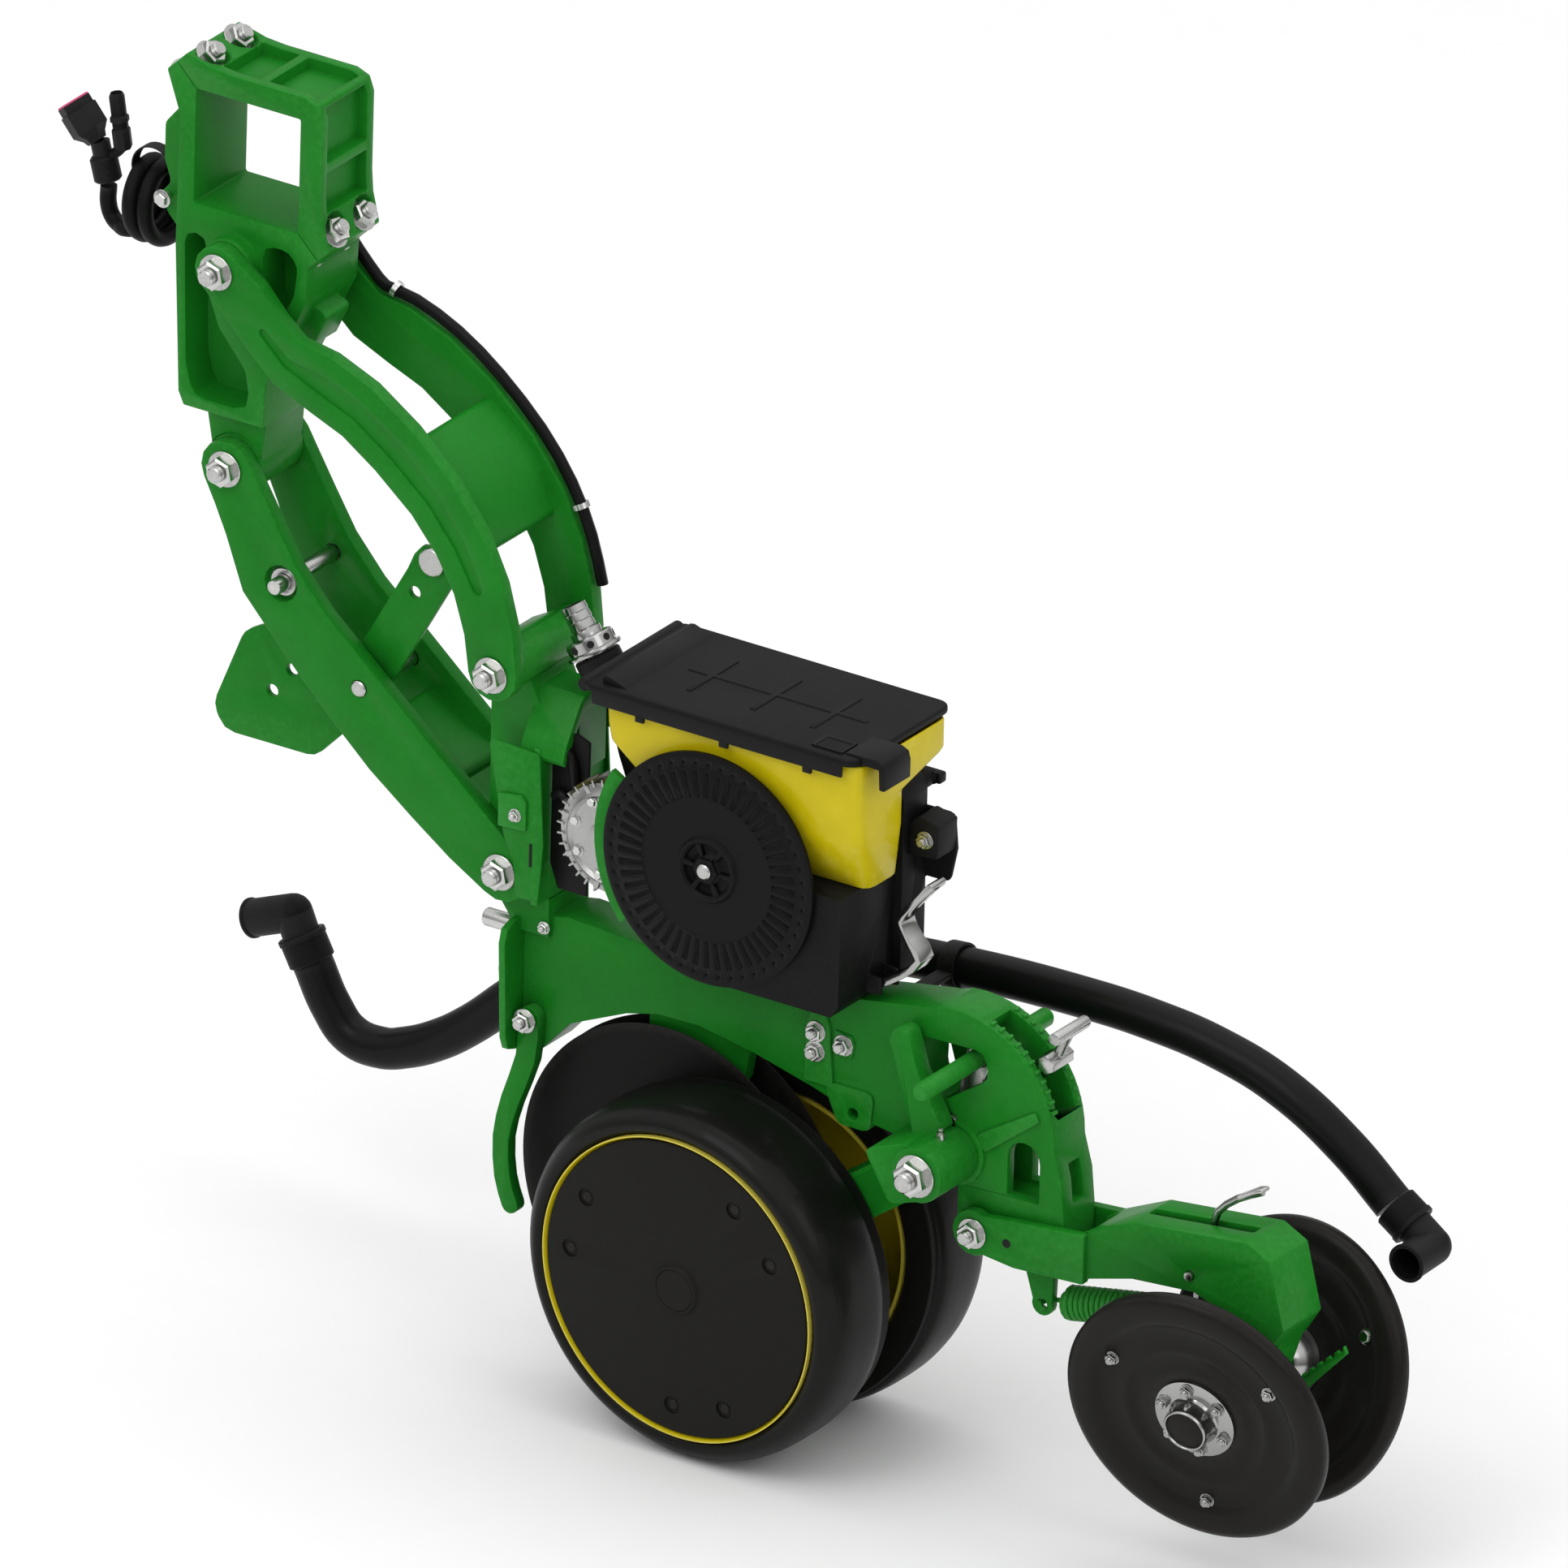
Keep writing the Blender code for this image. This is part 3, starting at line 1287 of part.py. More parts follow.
for side, way in (("near", -1), ("far", 1)):

    def between(inner_outer):
        return sorted(way * y for y in inner_outer)

    gauge_arm = pivot(f"gauge_arm_{side}_pivot", (GAUGE_PIVOT[0], 0, GAUGE_PIVOT[1]), row_frame)
    toe, camber = math.sin(WHEEL_TOE), math.sin(WHEEL_CAMBER)
    normal = Vector((-toe, way, -camber)).normalized()
    centre = Vector((WHEEL_CENTRE[0], way * WHEEL_Y, WHEEL_CENTRE[1]))
    part(
        f"gauge_arm_{side}",
        GREEN,
        [
            y_rod("boss", GAUGE_PIVOT, *between(BOSS_Y), 0.031, 28),
            plate("box", rounded(GAUGE_BOX, 0.008, 2), *between((BOSS_Y[0], 0.100))),
            plate("gauge_strap", strap(GAUGE_STRAP, 2), *between(ARM_PLATE_Y)),
            plate("lug", rounded(GAUGE_LUG, 0.007, 2), *between((0.0376, 0.062))),
            rod("spindle", centre - normal * 0.054, centre + normal * 0.037, SPINDLE_R, 16),
        ],
        [y_rod("bore", GAUGE_PIVOT, *between((0.020, 0.120)), GAUGE_BOLT_R + RUNNING)],
        gauge_arm,
    )
    wheel = pivot(f"gauge_wheel_{side}_axis", centre, gauge_arm)
    part(f"gauge_tyre_{side}", RUBBER, [turned("tyre", TYRE, centre, normal, 30, True)], carrier=wheel)
    part(f"gauge_rim_{side}", YELLOW_PAINT, [turned("rim", RIM, centre, normal, 24)], carrier=wheel)
    across = normal.cross(Vector((0, 0, 1))).normalized()
    upward = across.cross(normal)
    holes = []
    for pair in range(3):
        for step in (-14.5, 14.5):
            turn = math.radians(120 * pair + 14 + step)
            at = centre + (across * math.cos(turn) + upward * math.sin(turn)) * COVER_HOLES_AT
            holes.append(rod("cover_hole", at, at + normal * 0.08, COVER_HOLE_R, 6))
    part(f"gauge_cover_{side}", BLACK, [turned("cover", WHEEL_COVER, centre, normal, 24)], holes, wheel)

# ================================================================ closing frame and wheels
closing_frame = pivot("closing_frame_pivot", (CLOSING_PIVOT[0], 0, CLOSING_PIVOT[1]), row_frame)
FRONT_ARM = [
    (1.072, -0.9445),
    (0.985, -0.951),
    *arc(CLOSING_PIVOT, 0.026, 60, 300, 10),
    (0.985, -1.005),
    (1.072, -1.0005),
]
REAR_WALL = [
    (1.055, -0.952),
    (1.076, -0.939),
    (1.129, -0.915),
    (1.270, -0.900),
    (1.300, -0.915),
    (1.319, -0.989),
    (1.300, -1.020),
    (1.269, -0.996),
    (1.205, -0.975),
    (1.128, -0.981),
    (1.055, -1.001),
]
TOP_PLATE = [
    (1.076, -0.939),
    (1.129, -0.915),
    (1.270, -0.900),
    (1.300, -0.915),
    (1.319, -0.989),
    (1.300, -1.020),
    (1.294, -1.014),
    (1.310, -0.989),
    (1.293, -0.921),
    (1.269, -0.908),
    (1.130, -0.923),
    (1.079, -0.947),
]
LEVER_HINGE = (1.200, -0.957)
LEVER_PIN_R = 0.005
tilt_x, tilt_z = math.sin(CLOSER_TOE), -math.sin(CLOSER_CAMBER)
frame_solids = [plate("top_plate", TOP_PLATE, -0.030, 0.030)]
for way in (-1, 1):
    frame_solids.append(plate("front_arm", FRONT_ARM, *sorted((way * 0.032, way * 0.044))))
    frame_solids.append(plate("rear_wall", REAR_WALL, *sorted((way * 0.024, way * 0.036))))
REAR_LEG = [(1.292, -0.985, 0.020), (1.277, -1.040, 0.020), (*CLOSER_CENTRE, 0.026)]
frame_solids.append(plate("rear_leg", strap(REAR_LEG, 3), -0.022, 0.022))
closers = []
for way in (-1, 1):
    normal = Vector((tilt_x, way * math.sqrt(1 - tilt_x**2 - tilt_z**2), tilt_z))
    centre = Vector((CLOSER_CENTRE[0], way * CLOSER_Y, CLOSER_CENTRE[1]))
    closers.append((way, normal, centre))
    frame_solids.append(rod("closer_spindle", centre - normal * 0.078, centre + normal * 0.012, 0.010, 16))
part(
    "closing_frame",
    GREEN,
    frame_solids,
    [
        y_rod("pivot_bore", CLOSING_PIVOT, -0.1, 0.1, CLOSING_BOLT_R + RUNNING, 12),
        y_rod("lever_bore", LEVER_HINGE, -0.1, 0.1, LEVER_PIN_R + RUNNING, 12),
        block("slot", (1.130, -0.007, -0.940), (1.260, 0.007, -0.880)),
    ],
    closing_frame,
)
through_bolt(
    "closing_pivot_bolt",
    (CLOSING_PIVOT[0], 0, CLOSING_PIVOT[1]),
    (0, 1, 0),
    CLOSING_BOLT_R,
    0.044,
    0.0135,
    row_frame,
)
closing_lever = pivot("closing_lever_hinge", (LEVER_HINGE[0], 0, LEVER_HINGE[1]), closing_frame)
lever = [(1.203, 0, -0.940), (1.206, 0, -0.915), (1.211, 0, -0.893), (1.235, 0, -0.872), (1.266, 0, -0.856)]
LEVER_PLATE = [(1.206, -0.925, 0.007), (*LEVER_HINGE, 0.012), (1.192, -1.012, 0.009)]
part(
    "closing_lever",
    ZINC,
    [
        plate("lever_plate", strap(LEVER_PLATE, 2, 5), -0.004, 0.004),
        y_rod("lever_pin", LEVER_HINGE, -0.040, 0.040, LEVER_PIN_R, 12),
        wire("lever", smooth(lever, 2), 0.0045),
    ],
    [y_rod("spring_eye", (1.192, -1.014), -0.01, 0.01, 0.0045, 12)],
    closing_lever,
)
SPRING_EYE = Vector((0.997, 0, -1.057))
closing_spring = pivot("closing_spring_hinge", SPRING_EYE, row_frame)
SPRING_FRONT = Vector((1.024, 0, -1.049))
SPRING_REAR = Vector((1.150, 0, -1.026))
SPRING_R = 0.0165
SPRING_WIRE = 0.0032
SPRING_TURNS = 8
SPRING_STEPS = 7  # straight lengths of wire to a turn
spring_way = (SPRING_REAR - SPRING_FRONT).normalized()
spring_up = Vector((-spring_way.z, 0, spring_way.x))
coil = [SPRING_EYE + Vector(step) for step in ((0.002, -0.012, 0), (0, 0, 0), (0.004, 0.010, 0))]
for k in range(SPRING_TURNS * SPRING_STEPS + 1):
    turn = 2 * math.pi * k / SPRING_STEPS
    across = Vector((0, 1, 0)) * math.cos(turn) + spring_up * math.sin(turn)
    coil.append(SPRING_FRONT.lerp(SPRING_REAR, k / (SPRING_TURNS * SPRING_STEPS)) + across * SPRING_R)
coil.append(SPRING_REAR + spring_way * 0.010 + Vector((0, 0.009, 0)))
coil.append(SPRING_REAR + spring_way * 0.026)
part("closing_spring", GREEN, [wire("spring", coil, SPRING_WIRE, 1)], carrier=closing_spring)
WHEEL_BORE = 0.0436
CLOSER = [
    (WHEEL_BORE, 0.004),
    (0.117, 0.004),
    (0.127, 0.0125),
    (0.143, 0.0125),
    (CLOSER_R, 0.005),
    (CLOSER_R, -0.005),
    (0.143, -0.0125),
    (0.127, -0.0125),
    (0.117, -0.004),
    (WHEEL_BORE, -0.004),
]
HUB = [
    (0, 0.026),
    (0.021, 0.026),
    (0.028, 0.020),
    (0.028, 0.010),
    (CLOSER_HUB_R + 0.005, 0.0090),
    (CLOSER_HUB_R + 0.005, 0.0044),
    (0.0431, 0.0044),
    (0.0431, -0.008),
    (0.028, -0.030),
    (0.0105, -0.030),
    (0.0105, 0.015),
    (0, 0.015),
]
for way, normal, centre in closers:
    side = "near" if way < 0 else "far"
    axle = pivot(f"closing_wheel_{side}_axis", centre, closing_frame)
    part(f"closing_wheel_{side}", RUBBER, [turned("wheel", CLOSER, centre, normal, 28, True)], carrier=axle)
    part(f"closing_hub_{side}", ZINC, [turned("hub", HUB, centre, normal, 16)], carrier=axle)

# The row frame is drawn with its lower link at LINK, then hung on the arms where they end.
row_frame.location.x += rear_lower[0] - LINK[0]
row_frame.location.z += rear_lower[1] - LINK[1]
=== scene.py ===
"""The looks of a corn planter's row unit: the finish of every surface, and the pieces modelled in full detail."""

import json
import math

import bpy
from mathutils import Matrix, Vector

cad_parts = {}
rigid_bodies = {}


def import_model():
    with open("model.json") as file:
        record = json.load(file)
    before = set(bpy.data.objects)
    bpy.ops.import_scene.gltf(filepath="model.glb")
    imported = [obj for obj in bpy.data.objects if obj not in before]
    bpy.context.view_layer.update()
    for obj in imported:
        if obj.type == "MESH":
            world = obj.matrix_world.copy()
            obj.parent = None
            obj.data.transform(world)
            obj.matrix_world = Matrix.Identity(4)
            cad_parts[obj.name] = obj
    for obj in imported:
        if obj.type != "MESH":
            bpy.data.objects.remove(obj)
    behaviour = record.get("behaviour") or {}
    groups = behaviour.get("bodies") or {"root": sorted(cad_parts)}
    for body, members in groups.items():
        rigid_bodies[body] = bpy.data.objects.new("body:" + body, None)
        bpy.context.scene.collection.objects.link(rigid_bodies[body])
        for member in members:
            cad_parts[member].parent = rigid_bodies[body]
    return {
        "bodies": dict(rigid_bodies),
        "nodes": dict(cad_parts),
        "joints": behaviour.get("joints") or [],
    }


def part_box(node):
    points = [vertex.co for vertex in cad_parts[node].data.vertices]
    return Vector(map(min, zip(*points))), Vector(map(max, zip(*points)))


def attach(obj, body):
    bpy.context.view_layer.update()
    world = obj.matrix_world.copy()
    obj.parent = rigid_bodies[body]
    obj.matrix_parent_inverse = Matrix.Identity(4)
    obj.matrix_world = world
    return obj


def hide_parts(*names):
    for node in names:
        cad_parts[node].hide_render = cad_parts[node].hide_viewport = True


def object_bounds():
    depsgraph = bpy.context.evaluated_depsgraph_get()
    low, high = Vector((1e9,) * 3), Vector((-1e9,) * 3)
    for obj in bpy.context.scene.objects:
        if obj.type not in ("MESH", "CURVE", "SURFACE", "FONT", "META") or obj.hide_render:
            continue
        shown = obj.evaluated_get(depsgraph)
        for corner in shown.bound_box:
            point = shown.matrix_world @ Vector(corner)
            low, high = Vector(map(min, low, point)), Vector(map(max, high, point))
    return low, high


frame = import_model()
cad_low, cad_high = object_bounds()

NODES = frame["nodes"]
JOINTS = {joint["name"]: joint for joint in frame["joints"]}

# -------------------- view, light and floor
# The unit stands on its discs and wheels on a plain white floor, lit by a soft white room. The camera is far
# off and without perspective, 33 degrees round from the near side towards the rear and 25 degrees up.
VIEW_RIGHT = Vector((0.8316, 0.5549, 0.0225)).normalized()
VIEW_BACK = Vector((0.4961, -0.7605, 0.4187)).normalized()
LOOK_AT = Vector((0.6563, 0.0, -0.5543))
VIEW_WIDTH = 1.637
CAMERA_AWAY = 6

camera_data = bpy.data.cameras.new("camera")
camera_data.type = "ORTHO"
camera_data.ortho_scale = VIEW_WIDTH
camera_data.clip_end = 60
camera = bpy.data.objects.new("camera", camera_data)
camera.matrix_world = Matrix.Translation(LOOK_AT + VIEW_BACK * CAMERA_AWAY) @ Matrix(
    (VIEW_RIGHT, VIEW_BACK.cross(VIEW_RIGHT), VIEW_BACK)
).transposed().to_4x4()
bpy.context.scene.collection.objects.link(camera)
bpy.context.scene.camera = camera
bpy.context.scene.view_settings.view_transform = "Standard"


def soft_lamp(name, place, size, watts):
    """A square lamp that faces the unit."""
    lamp_data = bpy.data.lights.new(name, "AREA")
    lamp_data.size = size
    lamp_data.energy = watts
    lamp = bpy.data.objects.new(name, lamp_data)
    lamp.location = place
    lamp.rotation_euler = (Vector(place) - LOOK_AT).to_track_quat("Z", "Y").to_euler()
    bpy.context.scene.collection.objects.link(lamp)


soft_lamp("key_lamp", (0.2, -3.0, 2.4), 2.2, 30)
soft_lamp("rear_lamp", (3.8, -1.0, 1.0), 1.6, 9)
soft_lamp("top_lamp", (0.6, 0.6, 3.4), 2.6, 14)


class Flow:
    """One output in a material's node tree. Python sums on it add the nodes that work them out."""

    def __init__(self, tree, socket=None):
        self.tree, self.socket = tree, socket

    def take(self, kind, settings=None, inputs=None, output=0):
        """Adds a node of this kind, gives it its settings, then its inputs, and returns one of its outputs."""
        made = self.tree.nodes.new("ShaderNode" + kind)
        for name, value in (settings or {}).items():
            if name == "stops":
                while len(made.color_ramp.elements) < len(value):
                    made.color_ramp.elements.new(0.5)
                for stop, (place, shade) in zip(made.color_ramp.elements, value):
                    stop.position = place
                    stop.color = (shade, shade, shade, 1)
            else:
                setattr(made, name, value)
        for name, value in (inputs or {}).items():
            if isinstance(value, Flow):
                self.tree.links.new(value.socket, made.inputs[name])
            else:
                made.inputs[name].default_value = value
        return Flow(self.tree, made.outputs[output])

    def sum(self, operation, first, second):
        return self.take("Math", {"operation": operation}, {0: first, 1: second})

    def __add__(self, other):
        return self.sum("ADD", self, other)

    def __radd__(self, other):
        return self.sum("ADD", other, self)

    def __sub__(self, other):
        return self.sum("SUBTRACT", self, other)

    def __rsub__(self, other):
        return self.sum("SUBTRACT", other, self)

    def __mul__(self, other):
        return self.sum("MULTIPLY", self, other)

    def __rmul__(self, other):
        return self.sum("MULTIPLY", other, self)

    def ramp(self, *stops):
        """This value passed through a grey ramp of (place, shade) stops."""
        return self.take("ValToRGB", {"stops": stops}, {"Fac": self})

    def noise(self, size, detail=3.0, rough=0.5, place=None):
        """Cloudy noise from 0 to 1 whose patches are this many metres across."""
        sockets = {"Vector": place or self, "Scale": 1 / size, "Detail": detail, "Roughness": rough}
        return self.take("TexNoise", inputs=sockets)

    def mix(self, first, second):
        """Between two colours by this value."""
        sockets = {0: self}
        for index, value in ((6, first), (7, second)):
            sockets[index] = value if isinstance(value, Flow) else (*value, 1)
        return self.take("Mix", {"data_type": "RGBA"}, sockets, 2)


def linear(red, green, blue):
    """A colour read as 0 to 255 on a screen, as the light that it stands for."""
    return tuple(((c / 255 + 0.055) / 1.055) ** 2.4 if c > 10 else c / 3295 for c in (red, green, blue))


def surface(name, colour, rough, grain, depth, mottle=0.10, metallic=0.0, coat=0.0, edge_highlight=None, dust=0.0):
    """A finish: its colour mottled a little, its gloss uneven, its grain raised, a painted highlight along its sharp
    edges, dust low down.
    """
    material = bpy.data.materials.new(name)
    material.use_nodes = True
    tree = material.node_tree
    shader = tree.nodes["Principled BSDF"]
    shader.inputs["Metallic"].default_value = metallic
    shader.inputs["Coat Weight"].default_value = coat
    shader.inputs["Coat Roughness"].default_value = 0.12
    shader.inputs["Specular IOR Level"].default_value = 0.5 if metallic else 0.10
    place = Flow(tree).take("TexCoord", output="Object")
    cloud = place.noise(0.06, 4.0)
    speck = place.noise(grain * 2.5, 2.0)
    shade = (cloud * 0.7 + speck * 0.3).ramp((0.32, 0.0), (0.68, 1.0))
    dark = tuple(c * (1 - mottle) for c in colour)
    light = tuple(min(1, c * (1 + mottle)) for c in colour)
    tint = shade.mix(dark, light)
    # painted highlight: sharp edges (high pointiness) are mixed towards a lighter colour, as if they caught the light
    if edge_highlight:
        edge = Flow(tree).take("NewGeometry", output="Pointiness")
        edge_highlight_mask = (edge + speck * 0.05).ramp((0.56, 0.0), (0.62, 1.0))
        tint = (edge_highlight_mask * 0.6).mix(tint, edge_highlight)
    if dust:
        height = place.take("SeparateXYZ", inputs={"Vector": place}, output=2)
        low = (height * -1.0 + cloud * 0.5).ramp((0.0, 0.0), (1.0, 1.0))
        tint = (low * dust).mix(tint, (0.32, 0.27, 0.21))
    tree.links.new(tint.socket, shader.inputs["Base Color"])
    gloss = cloud * (rough * 0.35) + speck * (rough * 0.25) + rough * 0.70
    tree.links.new(gloss.socket, shader.inputs["Roughness"])
    bumps = place.noise(grain, 2.0, 0.6)
    sockets = {"Height": bumps, "Distance": depth, "Strength": 0.8}
    relief = place.take("Bump", inputs=sockets)
    tree.links.new(relief.socket, shader.inputs["Normal"])
    return material


# the room is darker near the horizon and bright overhead, so that bright metal has something to mirror
world = bpy.data.worlds.new("white_room")
world.use_nodes = True
bpy.context.scene.world = world
sky = Flow(world.node_tree).take("TexCoord", output="Generated")
height = sky.take("SeparateXYZ", inputs={"Vector": sky}, output=2)
glow = height.ramp((0.05, 0.20), (0.60, 1.0))
background = world.node_tree.nodes["Background"]
world.node_tree.links.new(glow.socket, background.inputs["Color"])
background.inputs["Strength"].default_value = 1.12


def deselect():
    """Leaves nothing selected, in object mode."""
    if bpy.context.object and bpy.context.object.mode != "OBJECT":
        bpy.ops.object.mode_set(mode="OBJECT")
    bpy.ops.object.select_all(action="DESELECT")


deselect()
FLOOR_SIZE = 30
bpy.ops.mesh.primitive_plane_add(size=FLOOR_SIZE, location=(0.7, 0, cad_low[2] - 0.0005))
floor = bpy.context.object
floor.name = "floor"
floor.data.materials.append(surface("floor_white", (0.94, 0.94, 0.94), 0.9, 0.02, 0.0002, mottle=0.004))

# -------------------- painted castings and plates
# The toolbar head, its cap, the arms, the row frame and the closing frame are ductile iron castings and
# cut plates, deburred at the edges and powder coated in one glossy green with a fine orange peel.
GREEN = surface(
    "green_paint", linear(24, 120, 30), 0.36, 0.0028, 0.00030, 0.10,
    coat=0.03, edge_highlight=linear(60, 150, 62),
)


def wear(piece, material, body, *stands_for, slot=None):
    """The piece takes this finish, moves with this body, and stands for these pieces of the CAD model."""
    piece.data.materials.clear()
    piece.data.materials.append(material)
    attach(piece, body)
    if stands_for:
        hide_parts(*stands_for)


def linked(name, data):
    """A new object of this mesh or curve, in the scene."""
    piece = bpy.data.objects.new(name, data)
    bpy.context.scene.collection.objects.link(piece)
    return piece


def choose(piece):
    """Leaves only the piece selected, and active, in object mode."""
    deselect()
    piece.select_set(True)
    bpy.context.view_layer.objects.active = piece


def edit(piece):
    """Opens the piece in edit mode with all of it selected."""
    choose(piece)
    bpy.ops.object.mode_set(mode="EDIT")
    bpy.ops.mesh.select_mode(type="VERT")
    bpy.ops.mesh.select_all(action="SELECT")


def round_edges(piece, edge, segments=2, angle=30):
    """Bevels every edge sharper than this angle, and smooths the rest."""
    choose(piece)
    bevel = piece.modifiers.new("edges", "BEVEL")
    bevel.width = edge
    bevel.segments = segments
    bevel.limit_method = "ANGLE"
    bevel.angle_limit = math.radians(angle)
    bevel.use_clamp_overlap = False
    bevel.miter_outer = "MITER_ARC"
    bpy.ops.object.modifier_apply(modifier="edges")
    bpy.ops.object.shade_smooth_by_angle(angle=math.radians(40))


def softened(node, name, edge, material, segments=2):
    """The CAD model's piece with its facets merged and its sharp edges rounded off."""
    piece = linked(name, NODES[node].data.copy())
    piece.data.transform(NODES[node].matrix_world)
    choose(piece)
    bpy.ops.mesh.customdata_custom_splitnormals_clear()
    edit(piece)
    bpy.ops.mesh.remove_doubles(threshold=0.00002)
    bpy.ops.mesh.dissolve_limited(angle_limit=math.radians(1.0))
    round_edges(piece, edge, segments, 32)
    wear(piece, material, BODY[node], node)


BODY = {}  # the body that each CAD node moves with
for body_name, body_empty in frame["bodies"].items():
    for child in body_empty.children:
        BODY[child.name] = body_name
for node, edge in (
    ("head_casting", 0.0020),
    ("clamp_cap", 0.0018),
    ("lower_arm", 0.0018),
    ("upper_arm", 0.0018),
    ("force_bracket", 0.0012),
    ("row_frame", 0.0009),
    ("side_cover_near", 0.0006),
    ("side_cover_far", 0.0006),
    ("gauge_arm_near", 0.0018),
    ("gauge_arm_far", 0.0018),
    ("closing_frame", 0.0018),
):
    softened(node, node + "_painted", edge, GREEN)

# -------------------- bolts, nuts and pins
# Every pivot is a through bolt with a hexagon, a flat washer and a stud end that stands out of the nut.
# All of it is steel, zinc plated, so it is bright with faint turning marks.
ZINC = surface(
    "bright_zinc", (0.36, 0.36, 0.35), 0.26, 0.0008, 0.00006, 0.10, metallic=1.0, edge_highlight=(0.85, 0.85, 0.83)
)


def drawn(name, points, closed=False):
    """A line or a flat face through these points, in edit mode with all of it selected."""
    deselect()
    bpy.ops.mesh.primitive_plane_add(size=0.001)
    piece = bpy.context.object
    piece.name = name
    edit(piece)
    bpy.ops.mesh.merge(type="CENTER")
    bpy.ops.transform.translate(value=Vector(points[0]))
    for here, there in zip(points, points[1:]):
        step = Vector(there) - Vector(here)
        bpy.ops.mesh.extrude_vertices_move(TRANSFORM_OT_translate={"value": step})
    bpy.ops.mesh.select_all(action="SELECT")
    if closed:
        bpy.ops.mesh.edge_face_add()
    return piece


def stand(place, way, turn=0.0):
    """The placing that stands a piece made round Z on this place, facing this way."""
    way = Vector(way).normalized()
    side = way.cross(Vector((0, 0, 1)) if abs(way.z) < 0.9 else Vector((1, 0, 0))).normalized()
    turned_so = Matrix((side, way.cross(side), way)).transposed() @ Matrix.Rotation(math.radians(turn), 3, "Z")
    return Matrix.Translation(Vector(place)) @ turned_so.to_4x4()


def turned(name, profile, place=(0, 0, 0), way=(0, 0, 1), steps=48):
    """A lathe-turned piece from its profile of (radius, height), which closes on itself where it is a ring's."""
    points = [(radius, 0, height) for radius, height in profile]
    is_ring = profile[0][0] > 0
    piece = drawn(name, points + points[:1] if is_ring else points)
    bpy.ops.mesh.remove_doubles(threshold=0.00001)
    bpy.ops.mesh.select_all(action="SELECT")
    bpy.ops.mesh.spin(steps=steps, angle=2 * math.pi, center=(0, 0, 0), axis=(0, 0, 1))
    bpy.ops.mesh.select_all(action="SELECT")
    bpy.ops.mesh.remove_doubles(threshold=0.00001)
    bpy.ops.mesh.select_all(action="SELECT")
    bpy.ops.mesh.normals_make_consistent(inside=False)
    choose(piece)
    piece.data.transform(stand(place, way))
    bpy.ops.object.shade_smooth_by_angle(angle=math.radians(35))
    return piece


def rod(radius, low, high, chamfer=0.0, run=0.0):
    """A round bar's profile between two heights, its ends chamfered by this much over this run."""
    if not chamfer:
        return [(0, low), (radius, low), (radius, high), (0, high)]
    end = radius - chamfer
    return [(0, low), (end, low), (radius, low + run), (radius, high - run), (end, high), (0, high)]


def joined(name, *pieces):
    """These pieces as one object."""
    deselect()
    for piece in pieces:
        piece.select_set(True)
    bpy.context.view_layer.objects.active = pieces[0]
    bpy.ops.object.join()
    pieces[0].name = name
    return pieces[0]


def copied(piece, name, placing):
    """A copy with its own mesh, placed so."""
    copy = linked(name, piece.data.copy())
    copy.data.transform(placing)
    return copy


# a nut on its washer, with the stud's chamfered end and threads: one across the corners, standing on Z
hexagon = turned("nut", [(0, 0.12), (1.0, 0.12), (1.0, 0.80), (0.86, 0.92), (0, 0.92)], steps=6)
washer = turned("washer", [(0, 0), (1.18, 0), (1.22, 0.04), (1.22, 0.12), (1.18, 0.16), (0, 0.16)], steps=32)
threads = [(0.56 - 0.05 * (k % 2), 0.90 + 0.055 * k) for k in range(7)]
stud = turned("stud", [(0, 0.5), *threads, (0.56, 1.28), (0.46, 1.38), (0, 1.38)], steps=20)
NUT = joined("nut_pattern", hexagon, washer, stud)
screw_head = turned("head", [(0, 0), (1.0, 0), (1.0, 0.62), (0.86, 0.74), (0, 0.74)], steps=6)
screw_flange = turned("flange", [(0, 0), (1.3, 0), (1.3, 0.10), (1.1, 0.2), (0, 0.2)], steps=28)
SCREW = joined("screw_pattern", screw_head, screw_flange)


def fastener(name, pattern, place, way, radius, body, turn=0.0, material=ZINC):
    """A nut or a screw of this radius across its corners, seated on this place."""
    piece = copied(pattern, name, stand(place, way, turn) @ Matrix.Scale(radius, 4))
    wear(piece, material, body)


def middle_of(node):
    """The centre of a CAD node's box, and half its size."""
    low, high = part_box(node)
    return (Vector(low) + Vector(high)) / 2, (Vector(high) - Vector(low)) / 2


NEAR, FAR = Vector((0, -1, 0)), Vector((0, 1, 0))
# each bolt: its node, the half width that it clamps, the nut's radius, the shank's
for node, half, nut, shank in (
    ("lower_front_bolt", 0.0583, 0.0165, 0.0098),
    ("lower_rear_bolt", 0.0583, 0.0165, 0.0098),
    ("upper_front_bolt", 0.0843, 0.0165, 0.0098),
    ("upper_rear_bolt", 0.0843, 0.0165, 0.0098),
    ("gauge_pivot_bolt", 0.1084, 0.0195, 0.0118),
    ("closing_pivot_bolt", 0.0443, 0.0140, 0.0078),
):
    centre, _ = middle_of(node)
    wear(turned(node + "_shank", rod(shank, -half, half), centre, FAR, 24), ZINC, BODY[node], node)
    fastener(node + "_nut_near", NUT, centre + NEAR * half, NEAR, nut, BODY[node], 12)
    fastener(node + "_nut_far", NUT, centre + FAR * half, FAR, nut, BODY[node], 20)

